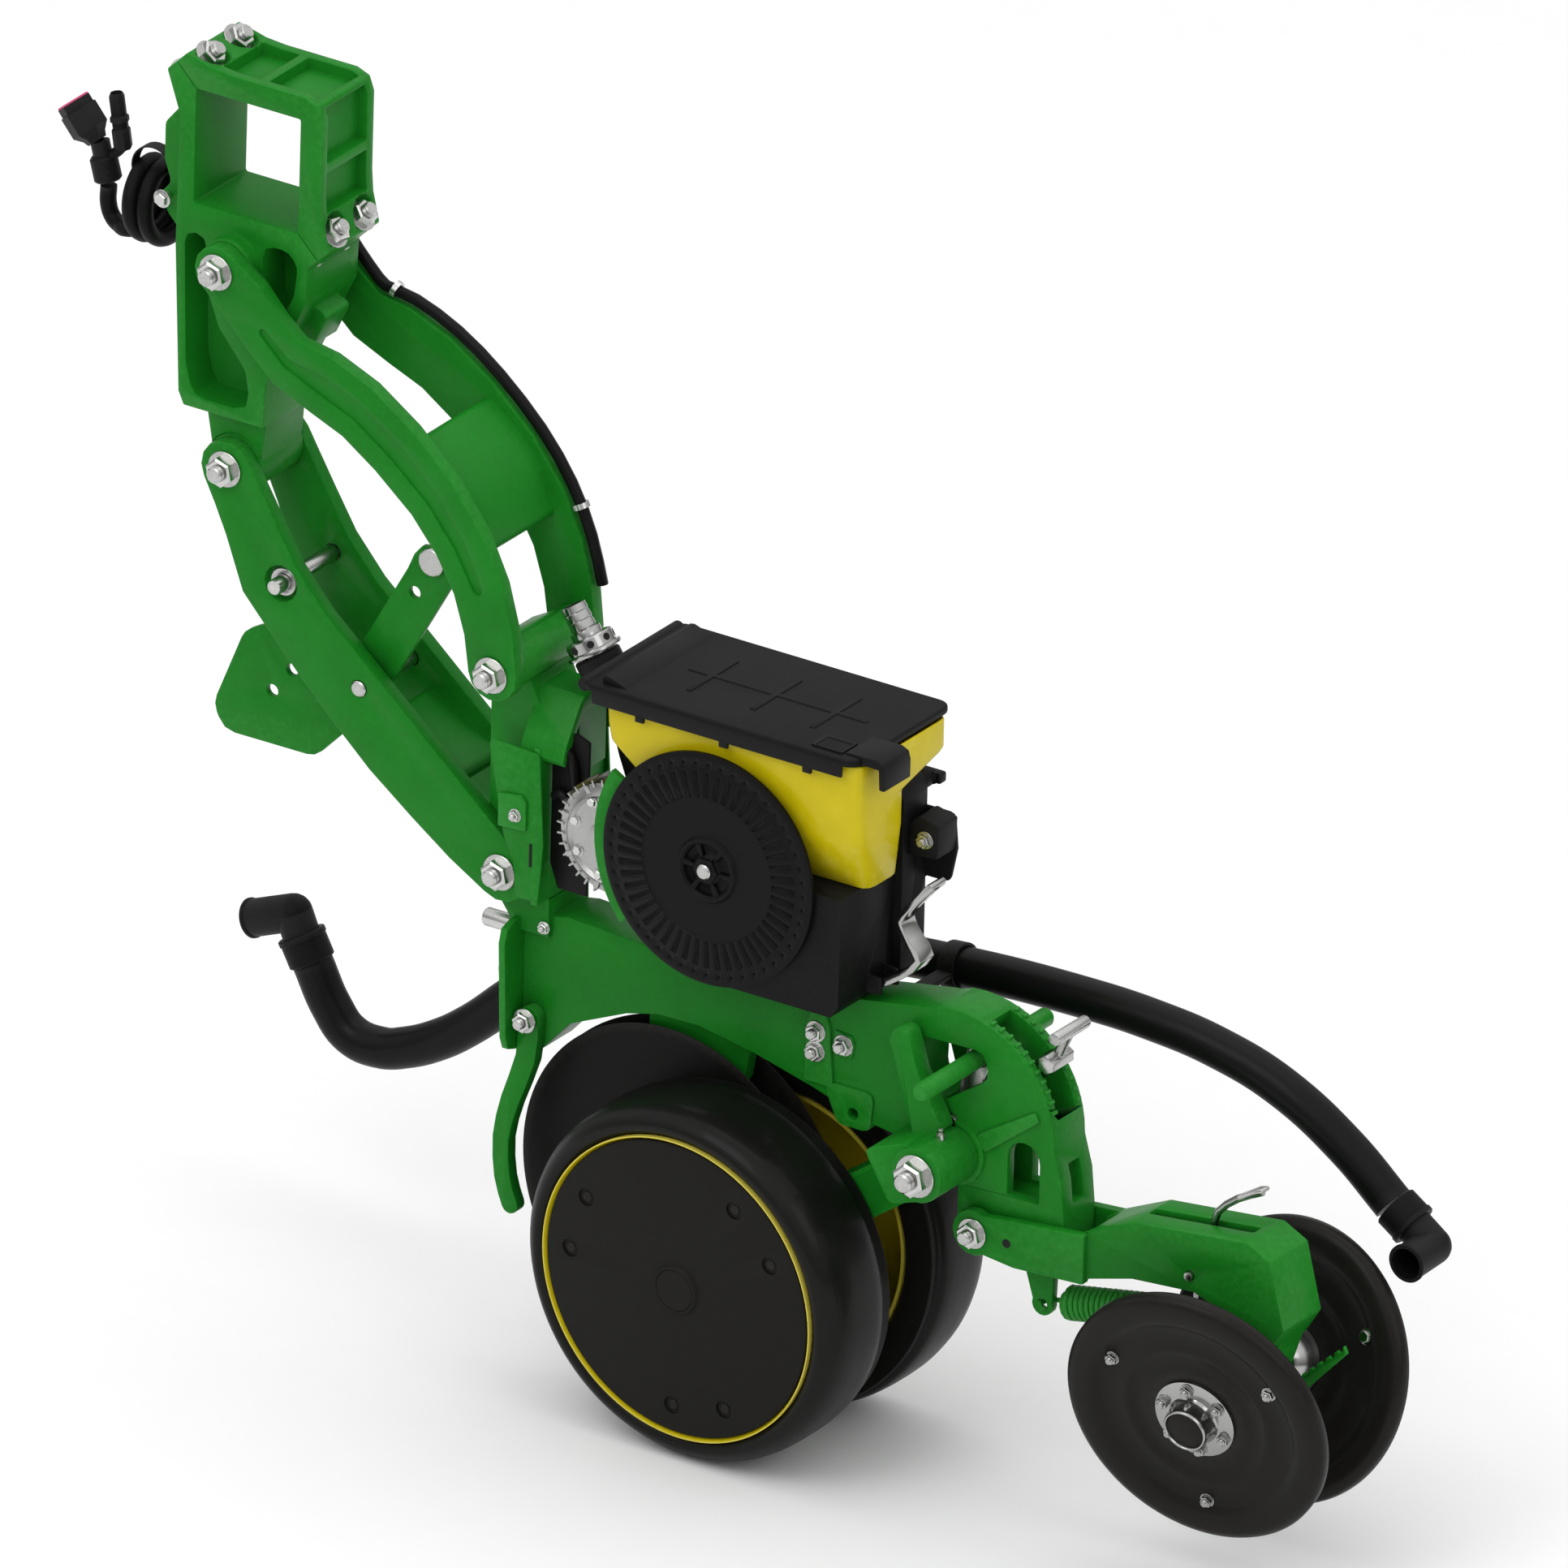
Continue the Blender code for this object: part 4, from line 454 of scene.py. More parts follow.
UP_AND_BACK = Vector((1, 0, 1)).normalized()
CLAMP_HALF = 0.0200  # half of what a clamp bolt holds together
CLAMP_NUT = 0.0145
for number in (1, 2, 3, 4):
    node = f"clamp_bolt_{number}"
    centre, _ = middle_of(node)
    pin = turned(node + "_shank", rod(0.0083, -CLAMP_HALF, CLAMP_HALF), centre, UP_AND_BACK, 24)
    wear(pin, ZINC, BODY[node], node)
    reach = UP_AND_BACK * CLAMP_HALF
    fastener(node + "_nut", NUT, centre + reach, UP_AND_BACK, CLAMP_NUT, BODY[node], 10 * number)
    fastener(node + "_head", SCREW, centre - reach, -UP_AND_BACK, CLAMP_NUT, BODY[node])

# the spacer bolt sits in a counterbore on each bar, with a steel ring round it
centre, reach = middle_of("arm_spacer")
spacer = turned("arm_spacer_bolt", rod(0.0088, -reach.y, reach.y, 0.0013, 0.002), centre, FAR, 28)
wear(spacer, ZINC, BODY["arm_spacer"], "arm_spacer")
for side, way in (("near", NEAR), ("far", FAR)):
    seat = centre + way * 0.0495
    ring = [(0.0095, 0), (0.0165, 0), (0.0165, 0.0020), (0.0150, 0.0034), (0.0120, 0.0034), (0.0095, 0.0020)]
    wear(turned(f"spacer_ring_{side}", ring, seat, way, 32), ZINC, BODY["arm_spacer"])
centre, reach = middle_of("bracket_pin")
peg = turned("bracket_pin_turned", rod(reach.x, -reach.y, reach.y, 0.0015, 0.0015), centre, FAR, 32)
wear(peg, ZINC, BODY["bracket_pin"], "bracket_pin")

# -------------------- meter: seed plate, housings and drive motor
# The seed plate is moulded in black glass-filled nylon, with a ring of seed holes near its rim, a ring of
# stirring pockets inside it and a six-window hub on a bright pin. A cast aluminium motor drives it.
BLACK = surface(
    "black_moulding", linear(17, 17, 17), 0.50, 0.0011, 0.00010, 0.12, edge_highlight=linear(40, 40, 40)
)
SATIN_BLACK = surface("satin_black", linear(16, 16, 16), 0.44, 0.0016, 0.00005, 0.10)
ALUMINIUM = surface(
    "cast_aluminium", (0.38, 0.38, 0.37), 0.30, 0.0016, 0.00020, 0.12, metallic=1.0
)


def pocketed(piece, place, way, inner, outer, count, share, inset, depth):
    """Sinks a ring of evenly spaced pockets into the faces that lie between two radii and face this way."""
    way = Vector(way).normalized()
    seen_from = stand(place, way).inverted()
    edit(piece)
    bpy.ops.mesh.select_mode(type="FACE")
    bpy.ops.mesh.select_all(action="DESELECT")
    bpy.ops.object.mode_set(mode="OBJECT")
    pitch = 360 / count
    for face in piece.data.polygons:
        at = seen_from @ face.center
        angle = math.degrees(math.atan2(at.y, at.x)) % pitch
        within = inner < math.hypot(at.x, at.y) < outer and angle < share * pitch
        face.select = within and face.normal.dot(way) > 0.9
    bpy.ops.object.mode_set(mode="EDIT")
    bpy.ops.mesh.inset(thickness=inset, depth=-depth)
    deselect()


def axle(name):
    """The centre of this joint, and the way out along its axle."""
    return Vector(JOINTS[name]["pos_m"]), Vector(JOINTS[name]["axis"])


plate_at, _ = axle("seed_plate_spin")
PLATE_OUT = 0.0030  # half the plate's thickness
raised = (
    (0.0108, 0.001), (0.0155, 0.001), (0.0290, 0.001), (0.0315, 0.0035), (0.0350, 0.0035), (0.0375, 0), (0.0800, 0),
    (0.0815, 0.0012), (0.1110, 0.0012), (0.1130, 0), (0.1185, 0), (0.1215, 0), (0.1265, 0), (0.1310, -0.0015),
)
plate_profile = [(radius, PLATE_OUT + height) for radius, height in raised]
plate_profile += [(0.1310, -PLATE_OUT), (0.0108, -PLATE_OUT)]
plate = turned("seed_plate_moulding", plate_profile, plate_at, NEAR, 192)
pocketed(plate, plate_at, NEAR, 0.0820, 0.1110, 48, 0.5, 0.0010, 0.0026)
pocketed(plate, plate_at, NEAR, 0.1186, 0.1214, 48, 0.25, 0.0004, 0.0030)
pocketed(plate, plate_at, NEAR, 0.0160, 0.0289, 6, 0.80, 0.0012, 0.0040)
wear(plate, SATIN_BLACK, "plate", "seed_plate")
pin_profile = [(0, 0), (0.0085, 0), (0.0085, 0.0100), (0.0070, 0.0115), (0, 0.0115)]
pin = turned("seed_plate_pin", pin_profile, plate_at, NEAR, 32)
wear(pin, ZINC, "row_unit")
collar_profile = [(0.0088, 0.004), (0.0150, 0.004), (0.0150, 0.0072), (0.0088, 0.0072)]
collar = turned("seed_plate_collar", collar_profile, plate_at, NEAR, 6)
wear(collar, SATIN_BLACK, "plate")


def slab(name, outline, low, high, edge=0.0, segments=2):
    """A plate or a block from its outline in X and Z, from this Y to that one, its edges rounded."""
    piece = drawn(name, [(x, low, z) for x, z in outline], closed=True)
    bpy.ops.mesh.extrude_region_move(TRANSFORM_OT_translate={"value": (0, high - low, 0)})
    bpy.ops.mesh.select_all(action="SELECT")
    bpy.ops.mesh.normals_make_consistent(inside=False)
    deselect()
    if edge:
        round_edges(piece, edge, segments)
    return piece


# the motor: a finned aluminium case with a ribbed face, eight screws and a drive boss
motor_at, _ = middle_of("drive_motor")
motor_at.y = 0
MOTOR_FACE, MOTOR_BACK, MOTOR_OUT = -0.0800, -0.0400, 0.0620
case_profile = [(0, -MOTOR_FACE), (0.050, -MOTOR_FACE), (0.0545, -MOTOR_FACE - 0.004)]
for fin in range(5):
    deep = -MOTOR_FACE - 0.006 - fin * 0.0058
    case_profile += [(MOTOR_OUT, deep), (MOTOR_OUT, deep - 0.0024), (0.0530, deep - 0.0030), (0.0530, deep - 0.0056)]
case_profile += [(0.056, -MOTOR_BACK), (0, -MOTOR_BACK)]
case = turned("drive_motor_case", case_profile, motor_at, NEAR, 72)
pocketed(case, motor_at, NEAR, 0.0, 0.0499, 1, 1.0, 0.0040, 0.0030)
wear(case, ALUMINIUM, BODY["drive_motor"], "drive_motor")
boss_profile = ((0.008, -0.004), (0.022, -0.004), (0.022, 0.004), (0.018, 0.006), (0.008, 0.006))
boss_profile = [(radius, height - MOTOR_FACE) for radius, height in boss_profile]
wear(turned("drive_motor_boss", boss_profile, motor_at, NEAR, 48), ALUMINIUM, BODY["drive_motor"])
rib_outline = [(-0.0045, -0.0030), (0.0075, -0.0030), (0.0075, 0.0030), (-0.0045, 0.0030)]
for number in range(8):
    angle = 30 + 45 * number
    reach = Vector((math.cos(math.radians(angle)), 0, math.sin(math.radians(angle)))) * 0.0440
    seat = motor_at + reach + NEAR * (-MOTOR_FACE - 0.0028)
    fastener(f"drive_motor_screw_{number + 1}", SCREW, seat, NEAR, 0.0052, "row_unit", angle)
    rib = slab(f"drive_motor_rib_{number + 1}", rib_outline, MOTOR_FACE + 0.003, MOTOR_BACK, 0.0008)
    spin = Matrix.Rotation(-math.radians(angle), 4, "Y")
    rib.data.transform(Matrix.Translation(motor_at + reach * 1.24) @ spin)
    wear(rib, ALUMINIUM, "row_unit")

# -------------------- harness behind the head
# The unit's wiring harness is a black conduit, coiled and strapped to the head's bracket. Its tail runs to
# a moulded splitter that carries a large sealed connector with a pink face, and a small plug on a short lead.
CONDUIT = surface(
    "conduit", linear(14, 14, 14), 0.50, 0.0014, 0.00016, 0.12, edge_highlight=linear(46, 46, 46)
)
PINK = surface("pink_seal", linear(214, 84, 128), 0.46, 0.0016, 0.00008, 0.08)
CONDUIT_R = 0.0090
LOOP_R, LOOPS, LOOP_STEPS, LOOP_PITCH = 0.0385, 2.5, 20, 0.0190


def smooth_line(name, route, radius, sides, smooth_steps):
    """A round bar or a hose along these points, as a curve with its ends closed."""
    line = bpy.data.curves.new(name, "CURVE")
    line.dimensions = "3D"
    line.bevel_depth = radius
    line.bevel_resolution = sides
    line.use_fill_caps = True
    spline = line.splines.new("BEZIER")
    spline.bezier_points.add(len(route) - 1)
    for point, place in zip(spline.bezier_points, route):
        point.co = place
        point.handle_left_type = point.handle_right_type = "AUTO"
    spline.resolution_u = smooth_steps
    return linked(name, line)


def tube(name, route, radius, sides=5, smooth_steps=4):
    """The same as a mesh."""
    choose(smooth_line(name, route, radius, sides, smooth_steps))
    bpy.ops.object.convert(target="MESH")
    piece = bpy.context.object
    piece.name = name
    edit(piece)
    bpy.ops.mesh.remove_doubles(threshold=0.00002)
    bpy.ops.mesh.select_all(action="SELECT")
    bpy.ops.mesh.normals_make_consistent(inside=False)
    choose(piece)
    bpy.ops.object.shade_smooth_by_angle(angle=math.radians(45))
    return piece


coil_at = Vector((-0.1615, 0.030, -0.118))
exit_at = Vector((-0.0885, 0.040, -0.0800))
route = [exit_at, Vector((-0.1060, 0.0400, -0.0800)), Vector((-0.1280, 0.0370, -0.0790))]
for k in range(round(LOOPS * LOOP_STEPS) + 1):
    angle = math.radians(90) - 2 * math.pi * k / LOOP_STEPS
    along = coil_at.x + LOOP_PITCH * (LOOPS / 2 - k / LOOP_STEPS)
    route.append(Vector((along, coil_at.y + LOOP_R * math.cos(angle), coil_at.z + LOOP_R * math.sin(angle))))
tail_places = (
    (-0.1965, 0.0240, -0.1585), (-0.2080, 0.0300, -0.1600), (-0.2200, 0.0340, -0.1550), (-0.2255, 0.0340, -0.1420),
    (-0.2258, 0.0340, -0.1202),
)
route += [Vector(place) for place in tail_places]
conduit = smooth_line("harness_conduit", route, CONDUIT_R, 6, 6)
wear(conduit, CONDUIT, "toolbar_head", "harness_coil", "harness_tail")
conduit_length = sum((b - a).length for a, b in zip(route, route[1:]))

splitter_top = Vector((-0.2340, 0.034, -0.0880))
splitter_low = Vector((-0.2262, 0.034, -0.1150))
splitter_way = splitter_top - splitter_low
run = splitter_way.length
body_profile = [(0, 0), (0.0130, 0), (0.0150, 0.002), (0.0150, run - 0.003), (0.0125, run), (0, run)]
body = turned("splitter", body_profile, splitter_low, splitter_way, 40)
wide = turned("wide", rod(0.0105, -0.006, 0.016), splitter_top, splitter_way, 32)
slim_route = [(-0.2310, -0.0960), (-0.2225, -0.0850), (-0.2150, -0.0780), (-0.2090, -0.0705)]
slim_route = [(x, splitter_low.y, z) for x, z in slim_route]
slim = tube("slim", slim_route, 0.0058, 4)
splitter = joined("harness_splitter_body", body, wide, slim)
wear(splitter, BLACK, "toolbar_head", "harness_splitter")

# the small plug: a stepped eight sided body with a locking rib and a collar
plug_low, plug_top = Vector((-0.2090, 0.034, -0.0720)), Vector((-0.2195, 0.034, -0.0120))
plug_way = (plug_top - plug_low).normalized()
plug_run = (plug_top - plug_low).length
steps = [
    (0, -0.002), (0.0085, -0.002), (0.0102, 0.001), (0.0102, 0.020), (0.0086, 0.022), (0.0086, 0.028),
    (0.0104, 0.029), (0.0104, 0.034), (0.0084, 0.036), (0.0084, plug_run - 0.004), (0.0066, plug_run),
    (0.0050, plug_run - 0.006), (0, plug_run - 0.006),
]
small_plug = turned("harness_plug_small", steps, plug_low, plug_way, 8)
wear(small_plug, BLACK, "toolbar_head")

# the large connector: a six sided shell with a flange, and a pink seal across its mouth
big_low, big_top = Vector((-0.2480, 0.034, -0.0664)), Vector((-0.2740, 0.034, -0.0360))
big_way = (big_top - big_low).normalized()
big_run = (big_top - big_low).length
shell_profile = [
    (0, -0.010), (0.0110, -0.010), (0.0135, -0.004), (0.0210, 0.004), (0.0210, big_run - 0.012),
    (0.0190, big_run - 0.011), (0.0190, big_run - 0.002), (0, big_run - 0.002),
]
shell = turned("harness_connector_large", shell_profile, big_low, big_way, 6)
wear(shell, BLACK, "toolbar_head", "connector_large")
seal_profile = ((0, -0.004), (0.0182, -0.004), (0.0182, -0.0006), (0.0172, 0), (0, 0))
seal_profile = [(radius, big_run + height) for radius, height in seal_profile]
seal = turned("harness_connector_seal", seal_profile, big_low, big_way, 6)
wear(seal, PINK, "toolbar_head")


def arc_band(x, z, outside, inside, angles):
    """The outline, in X and Z, of a flat ring's stretch, over these angles in degrees."""
    arc = [math.radians(angle) for angle in angles]
    outer = [(x + outside * math.cos(angle), z + outside * math.sin(angle)) for angle in arc]
    return outer + [(x + inside * math.cos(angle), z + inside * math.sin(angle)) for angle in reversed(arc)]


# the strap: a flat band looped through the bracket and over the coil
strap = slab("harness_strap", arc_band(-0.1580, -0.0760, 0.0262, 0.0246, range(208, -1, -13)), 0.012, 0.026)
wear(strap, CONDUIT, "toolbar_head")

# -------------------- hopper and lid
# The mini hopper is blow moulded in glossy yellow polyethylene. Its lid is black, textured and ribbed on
# top: a wedge across it by the hinge, a long blade with three cross blades, and a pocket over the latch.
YELLOW = surface(
    "yellow_moulding", linear(200, 182, 10), 0.34, 0.0060, 0.00012, 0.05,
    coat=0.2, edge_highlight=linear(238, 226, 120),
)
softened("hopper", "hopper_moulding", 0.0022, YELLOW, 3)

lid_low, lid_high = (Vector(corner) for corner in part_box("hopper_lid"))
LID_TOP = -0.455  # the flat top
LID_REAR = 0.804
LID_CORNER = 0.016


def rounded_box(name, low, high, corner, edge, segments=2):
    """A block with its four upright corners rounded by one radius, and all its edges by another."""
    low, high = Vector(low), Vector(high)
    deselect()
    bpy.ops.mesh.primitive_cube_add(size=1)
    piece = bpy.context.object
    piece.name = name
    piece.data.transform(Matrix.Translation((low + high) / 2) @ Matrix.Diagonal((*(high - low), 1)))
    if corner:
        edit(piece)
        bpy.ops.mesh.select_mode(type="EDGE")
        bpy.ops.mesh.select_all(action="DESELECT")
        bpy.ops.object.mode_set(mode="OBJECT")
        for side in piece.data.edges:
            first, last = (piece.data.vertices[index].co for index in side.vertices)
            side.select = abs((first - last).z) > 0.9 * (high.z - low.z) and (first - last).xy.length < 1e-5
        bpy.ops.object.mode_set(mode="EDIT")
        bpy.ops.mesh.bevel(offset=corner, segments=6)
        deselect()
    round_edges(piece, edge, segments)
    return piece


SKIRT_LOW = -0.4770
low, high = (lid_low.x + 0.004, lid_low.y, LID_TOP - 0.009), (LID_REAR, lid_high.y, LID_TOP)
wear(rounded_box("hopper_lid_top", low, high, LID_CORNER, 0.0028, 3), BLACK, "lid", "hopper_lid")
for side, low, high in (
    ("near", lid_low.y + 0.0003, lid_low.y + 0.0044),
    ("far", lid_high.y - 0.0044, lid_high.y - 0.0003),
):
    corners = (lid_low.x + 0.020, low, SKIRT_LOW), (LID_REAR - 0.016, high, LID_TOP - 0.004)
    wear(rounded_box(f"hopper_lid_skirt_{side}", *corners, 0, 0.0014), BLACK, "lid")
    for number in range(3):
        hook_x = lid_low.x + 0.075 + number * 0.105
        corners = (hook_x, low - 0.0002, SKIRT_LOW - 0.006), (hook_x + 0.011, high + 0.0002, SKIRT_LOW + 0.003)
        wear(rounded_box(f"hopper_lid_hook_{side}_{number + 1}", *corners, 0, 0.0012), BLACK, "lid")
hinge_at, _ = axle("lid_hinge")
knuckle = turned("hopper_lid_knuckle", rod(0.0075, -0.090, 0.090, 0.0009, 0.0015), hinge_at, FAR, 24)
wear(knuckle, BLACK, "lid")
wedge_x = lid_low.x + 0.026
wedge = slab(
    "hopper_lid_wedge",
    [(wedge_x, LID_TOP - 0.003), (wedge_x + 0.034, LID_TOP - 0.003), (wedge_x + 0.030, LID_TOP + 0.0005),
     (wedge_x + 0.007, LID_TOP + 0.0085), (wedge_x + 0.001, LID_TOP + 0.0075)],
    lid_low.y + 0.012,
    lid_high.y - 0.012,
    0.0012,
)
wear(wedge, BLACK, "lid")
blades = [(lid_low.x + 0.080, LID_REAR - 0.045, -0.0028, 0.0028)]
blades += [(lid_low.x + cross - 0.003, lid_low.x + cross + 0.003, -0.046, 0.046) for cross in (0.110, 0.190, 0.265)]
for number, (low_x, high_x, low_y, high_y) in enumerate(blades):
    along_x = high_x - low_x > high_y - low_y
    corners = (low_x, low_y, LID_TOP - 0.002), (high_x, high_y, LID_TOP + 0.0075)
    blade = rounded_box(f"hopper_lid_blade_{number + 1}", *corners, 0, 0.0009)
    middle = Vector(((low_x + high_x) / 2, (low_y + high_y) / 2))
    reach = max(high_x - low_x, high_y - low_y) / 2
    for point in blade.data.vertices:
        away = abs(point.co.x - middle.x if along_x else point.co.y - middle.y) / reach
        if point.co.z > LID_TOP:
            point.co.z = LID_TOP + (point.co.z - LID_TOP) * min(1.0, 3.2 * (1.0 - away) + 0.12)
    wear(blade, BLACK, "lid")
corners = (LID_REAR - 0.062, -0.083, LID_TOP - 0.002), (LID_REAR - 0.022, -0.052, LID_TOP + 0.0024)
pocket = rounded_box("hopper_lid_latch_pocket", *corners, 0.003, 0.0008)
pocket_top = Vector((LID_REAR - 0.042, -0.0675, LID_TOP + 0.0024))
pocketed(pocket, pocket_top, (0, 0, 1), 0.0, 0.05, 1, 1.0, 0.0030, 0.0030)
wear(pocket, BLACK, "lid")
tab = slab(
    "hopper_lid_tab",
    [(LID_REAR - 0.020, LID_TOP - 0.008), (LID_REAR - 0.020, LID_TOP + 0.002), (LID_REAR + 0.018, LID_TOP + 0.003),
     (LID_REAR + 0.027, LID_TOP - 0.001), (LID_REAR + 0.0295, LID_TOP - 0.010), (LID_REAR + 0.0295, LID_TOP - 0.031),
     (LID_REAR + 0.0225, LID_TOP - 0.031), (LID_REAR + 0.0215, LID_TOP - 0.008)],
    -0.0800,
    -0.0300,
    0.0014,
)
wear(tab, BLACK, "lid")

# the meter hangs under the hopper: a black base, the vacuum chamber behind it and the duct that feeds it
softened("meter_housing", "meter_base", 0.0010, BLACK)
softened("vacuum_housing", "vacuum_chamber", 0.0012, BLACK)
softened("air_tube", "air_duct", 0.0010, BLACK)

# -------------------- opener discs
# Two 15 inch discs of thin hardened steel run nearly edge to edge. They are coated dull black, with a riveted
# hub and a ground bevel at the cutting edge.
DISC_R = 0.1905
DISC_STEEL = surface(
    "disc_steel", linear(17, 17, 16), 0.46, 0.0024, 0.00006, 0.16, edge_highlight=linear(50, 48, 46)
)


def on_ring(place, way, radius, angle, height):
    """The place at this angle in degrees on a ring round an axle, this far along it."""
    angle = math.radians(angle)
    return stand(place, way) @ Vector((radius * math.cos(angle), radius * math.sin(angle), height))


for side in ("near", "far"):
    place, way = axle(f"disc_{side}_spin")
    profile = [
        (0, 0.0165), (0.020, 0.0165), (0.023, 0.0145), (0.040, 0.0095), (0.0455, 0.0060), (0.0470, 0.0030),
        (0.0640, 0.0026), (0.0660, 0.0020), (0.1780, 0.0020), (DISC_R, 0.0004), (DISC_R, -0.0004),
        (0.1780, -0.0020), (0.0106, -0.0020), (0.0106, 0.0100), (0, 0.0100),
    ]
    disc = turned(f"opener_disc_{side}_blade", profile, place, way, 128)
    wear(disc, DISC_STEEL, f"disc_{side}", f"opener_disc_{side}")
    dome = [(0, 0), (0.0052, 0), (0.0048, 0.0014), (0.0030, 0.0026), (0, 0.0030)]
    for number in range(6):
        rivet_at = on_ring(place, way, 0.0560, 60 * number, 0.0024)
        wear(turned(f"opener_disc_{side}_rivet_{number + 1}", dome, rivet_at, way, 16), ZINC, f"disc_{side}")

# -------------------- gauge wheels
# A gauge wheel is a semi-pneumatic tyre, with a lip that runs against the disc, on a yellow steel rim. A
# black moulded cover fills the rim's face, with three pairs of bolt holes and a round badge in the middle.
TYRE_R, RIM_R = 0.2030, 0.1567
TYRE = surface(
    "tyre_rubber", linear(11, 12, 12), 0.42, 0.0024, 0.00012, 0.16,
    coat=0.10, edge_highlight=linear(26, 26, 26), dust=0.01,
)
YELLOW_PAINT = surface(
    "yellow_paint", linear(205, 186, 14), 0.36, 0.0024, 0.00012, 0.06, edge_highlight=linear(226, 214, 110)
)
WHEEL_BLACK = surface(
    "wheel_cover_black", linear(21, 21, 20), 0.54, 0.0016, 0.00010, 0.10, dust=0.01
)
for side in ("near", "far"):
    place, way = axle(f"gauge_wheel_{side}_spin")
    body = f"wheel_{side}"
    tread = [
        (0.1728, 0.0500), (0.1760, 0.0545), (0.1800, 0.0566), (0.1850, 0.0562), (0.1910, 0.0525), (0.1965, 0.0460),
        (0.2003, 0.0370), (0.2024, 0.0250), (TYRE_R, 0.0100), (TYRE_R, -0.0080), (0.2024, -0.0220), (0.2008, -0.0330),
        (0.1985, -0.0385), (0.1945, -0.0412), (0.1930, -0.0430), (0.1938, -0.0480), (0.1952, -0.0545),
        (0.1940, -0.0566), (0.1620, -0.0550), (0.1590, -0.0500), (0.1586, 0.0460),
    ]
    wear(turned(f"gauge_tyre_{side}_rubber", tread, place, way, 128), TYRE, body, f"gauge_tyre_{side}")
    rim = [
        (0, 0.0500), (0.1680, 0.0500), (0.1700, 0.0530), (0.1712, 0.0572), (0.1724, 0.0572), (0.1724, 0.0506),
        (RIM_R, 0.0490), (RIM_R, -0.0500), (0.1530, -0.0500), (0.1530, 0.0465), (0.0360, 0.0465), (0.0300, 0.0420),
        (0.0260, -0.0380), (0.0125, -0.0380), (0.0125, 0.0400), (0, 0.0400),
    ]
    rim = turned(f"gauge_rim_{side}_pressing", rim, place, way, 96)
    wear(rim, YELLOW_PAINT, body, f"gauge_rim_{side}")
    face = [
        (0, 0.0600), (0.0225, 0.0600), (0.0232, 0.0592), (0.0238, 0.0600), (0.0262, 0.0600), (0.0278, 0.0585),
        (0.0290, 0.0568), (0.1640, 0.0562), (0.1672, 0.0552), (0.1682, 0.0536), (0.1682, 0.0515), (0, 0.0515),
    ]
    cover = turned(f"gauge_cover_{side}_moulding", face, place, way, 96)
    plug_profile = [(0, 0), (0.0062, 0), (0.0062, 0.0010), (0.0052, 0.0018), (0, 0.0018)]
    cutters = []
    for pair in range(3):
        for step in (-14.5, 14.5):
            at = on_ring(place, way, 0.137, 120 * pair + 102 + step, 0.0538)
            cutters.append(turned("cutter", rod(0.0100, 0, 0.012), at, way, 28))
            name = f"gauge_cover_{side}_bolt_{len(cutters)}"
            wear(turned(name, plug_profile, at - way * 0.0004, way, 6), DISC_STEEL, body)
    cutter = joined("cutter", *cutters)
    cut = cover.modifiers.new("holes", "BOOLEAN")
    cut.operation = "DIFFERENCE"
    cut.solver = "EXACT"
    cut.object = cutter
    choose(cover)
    bpy.ops.object.modifier_apply(modifier="holes")
    bpy.data.objects.remove(cutter)
    bpy.ops.object.shade_smooth_by_angle(angle=math.radians(35))
    wear(cover, WHEEL_BLACK, body, f"gauge_cover_{side}")

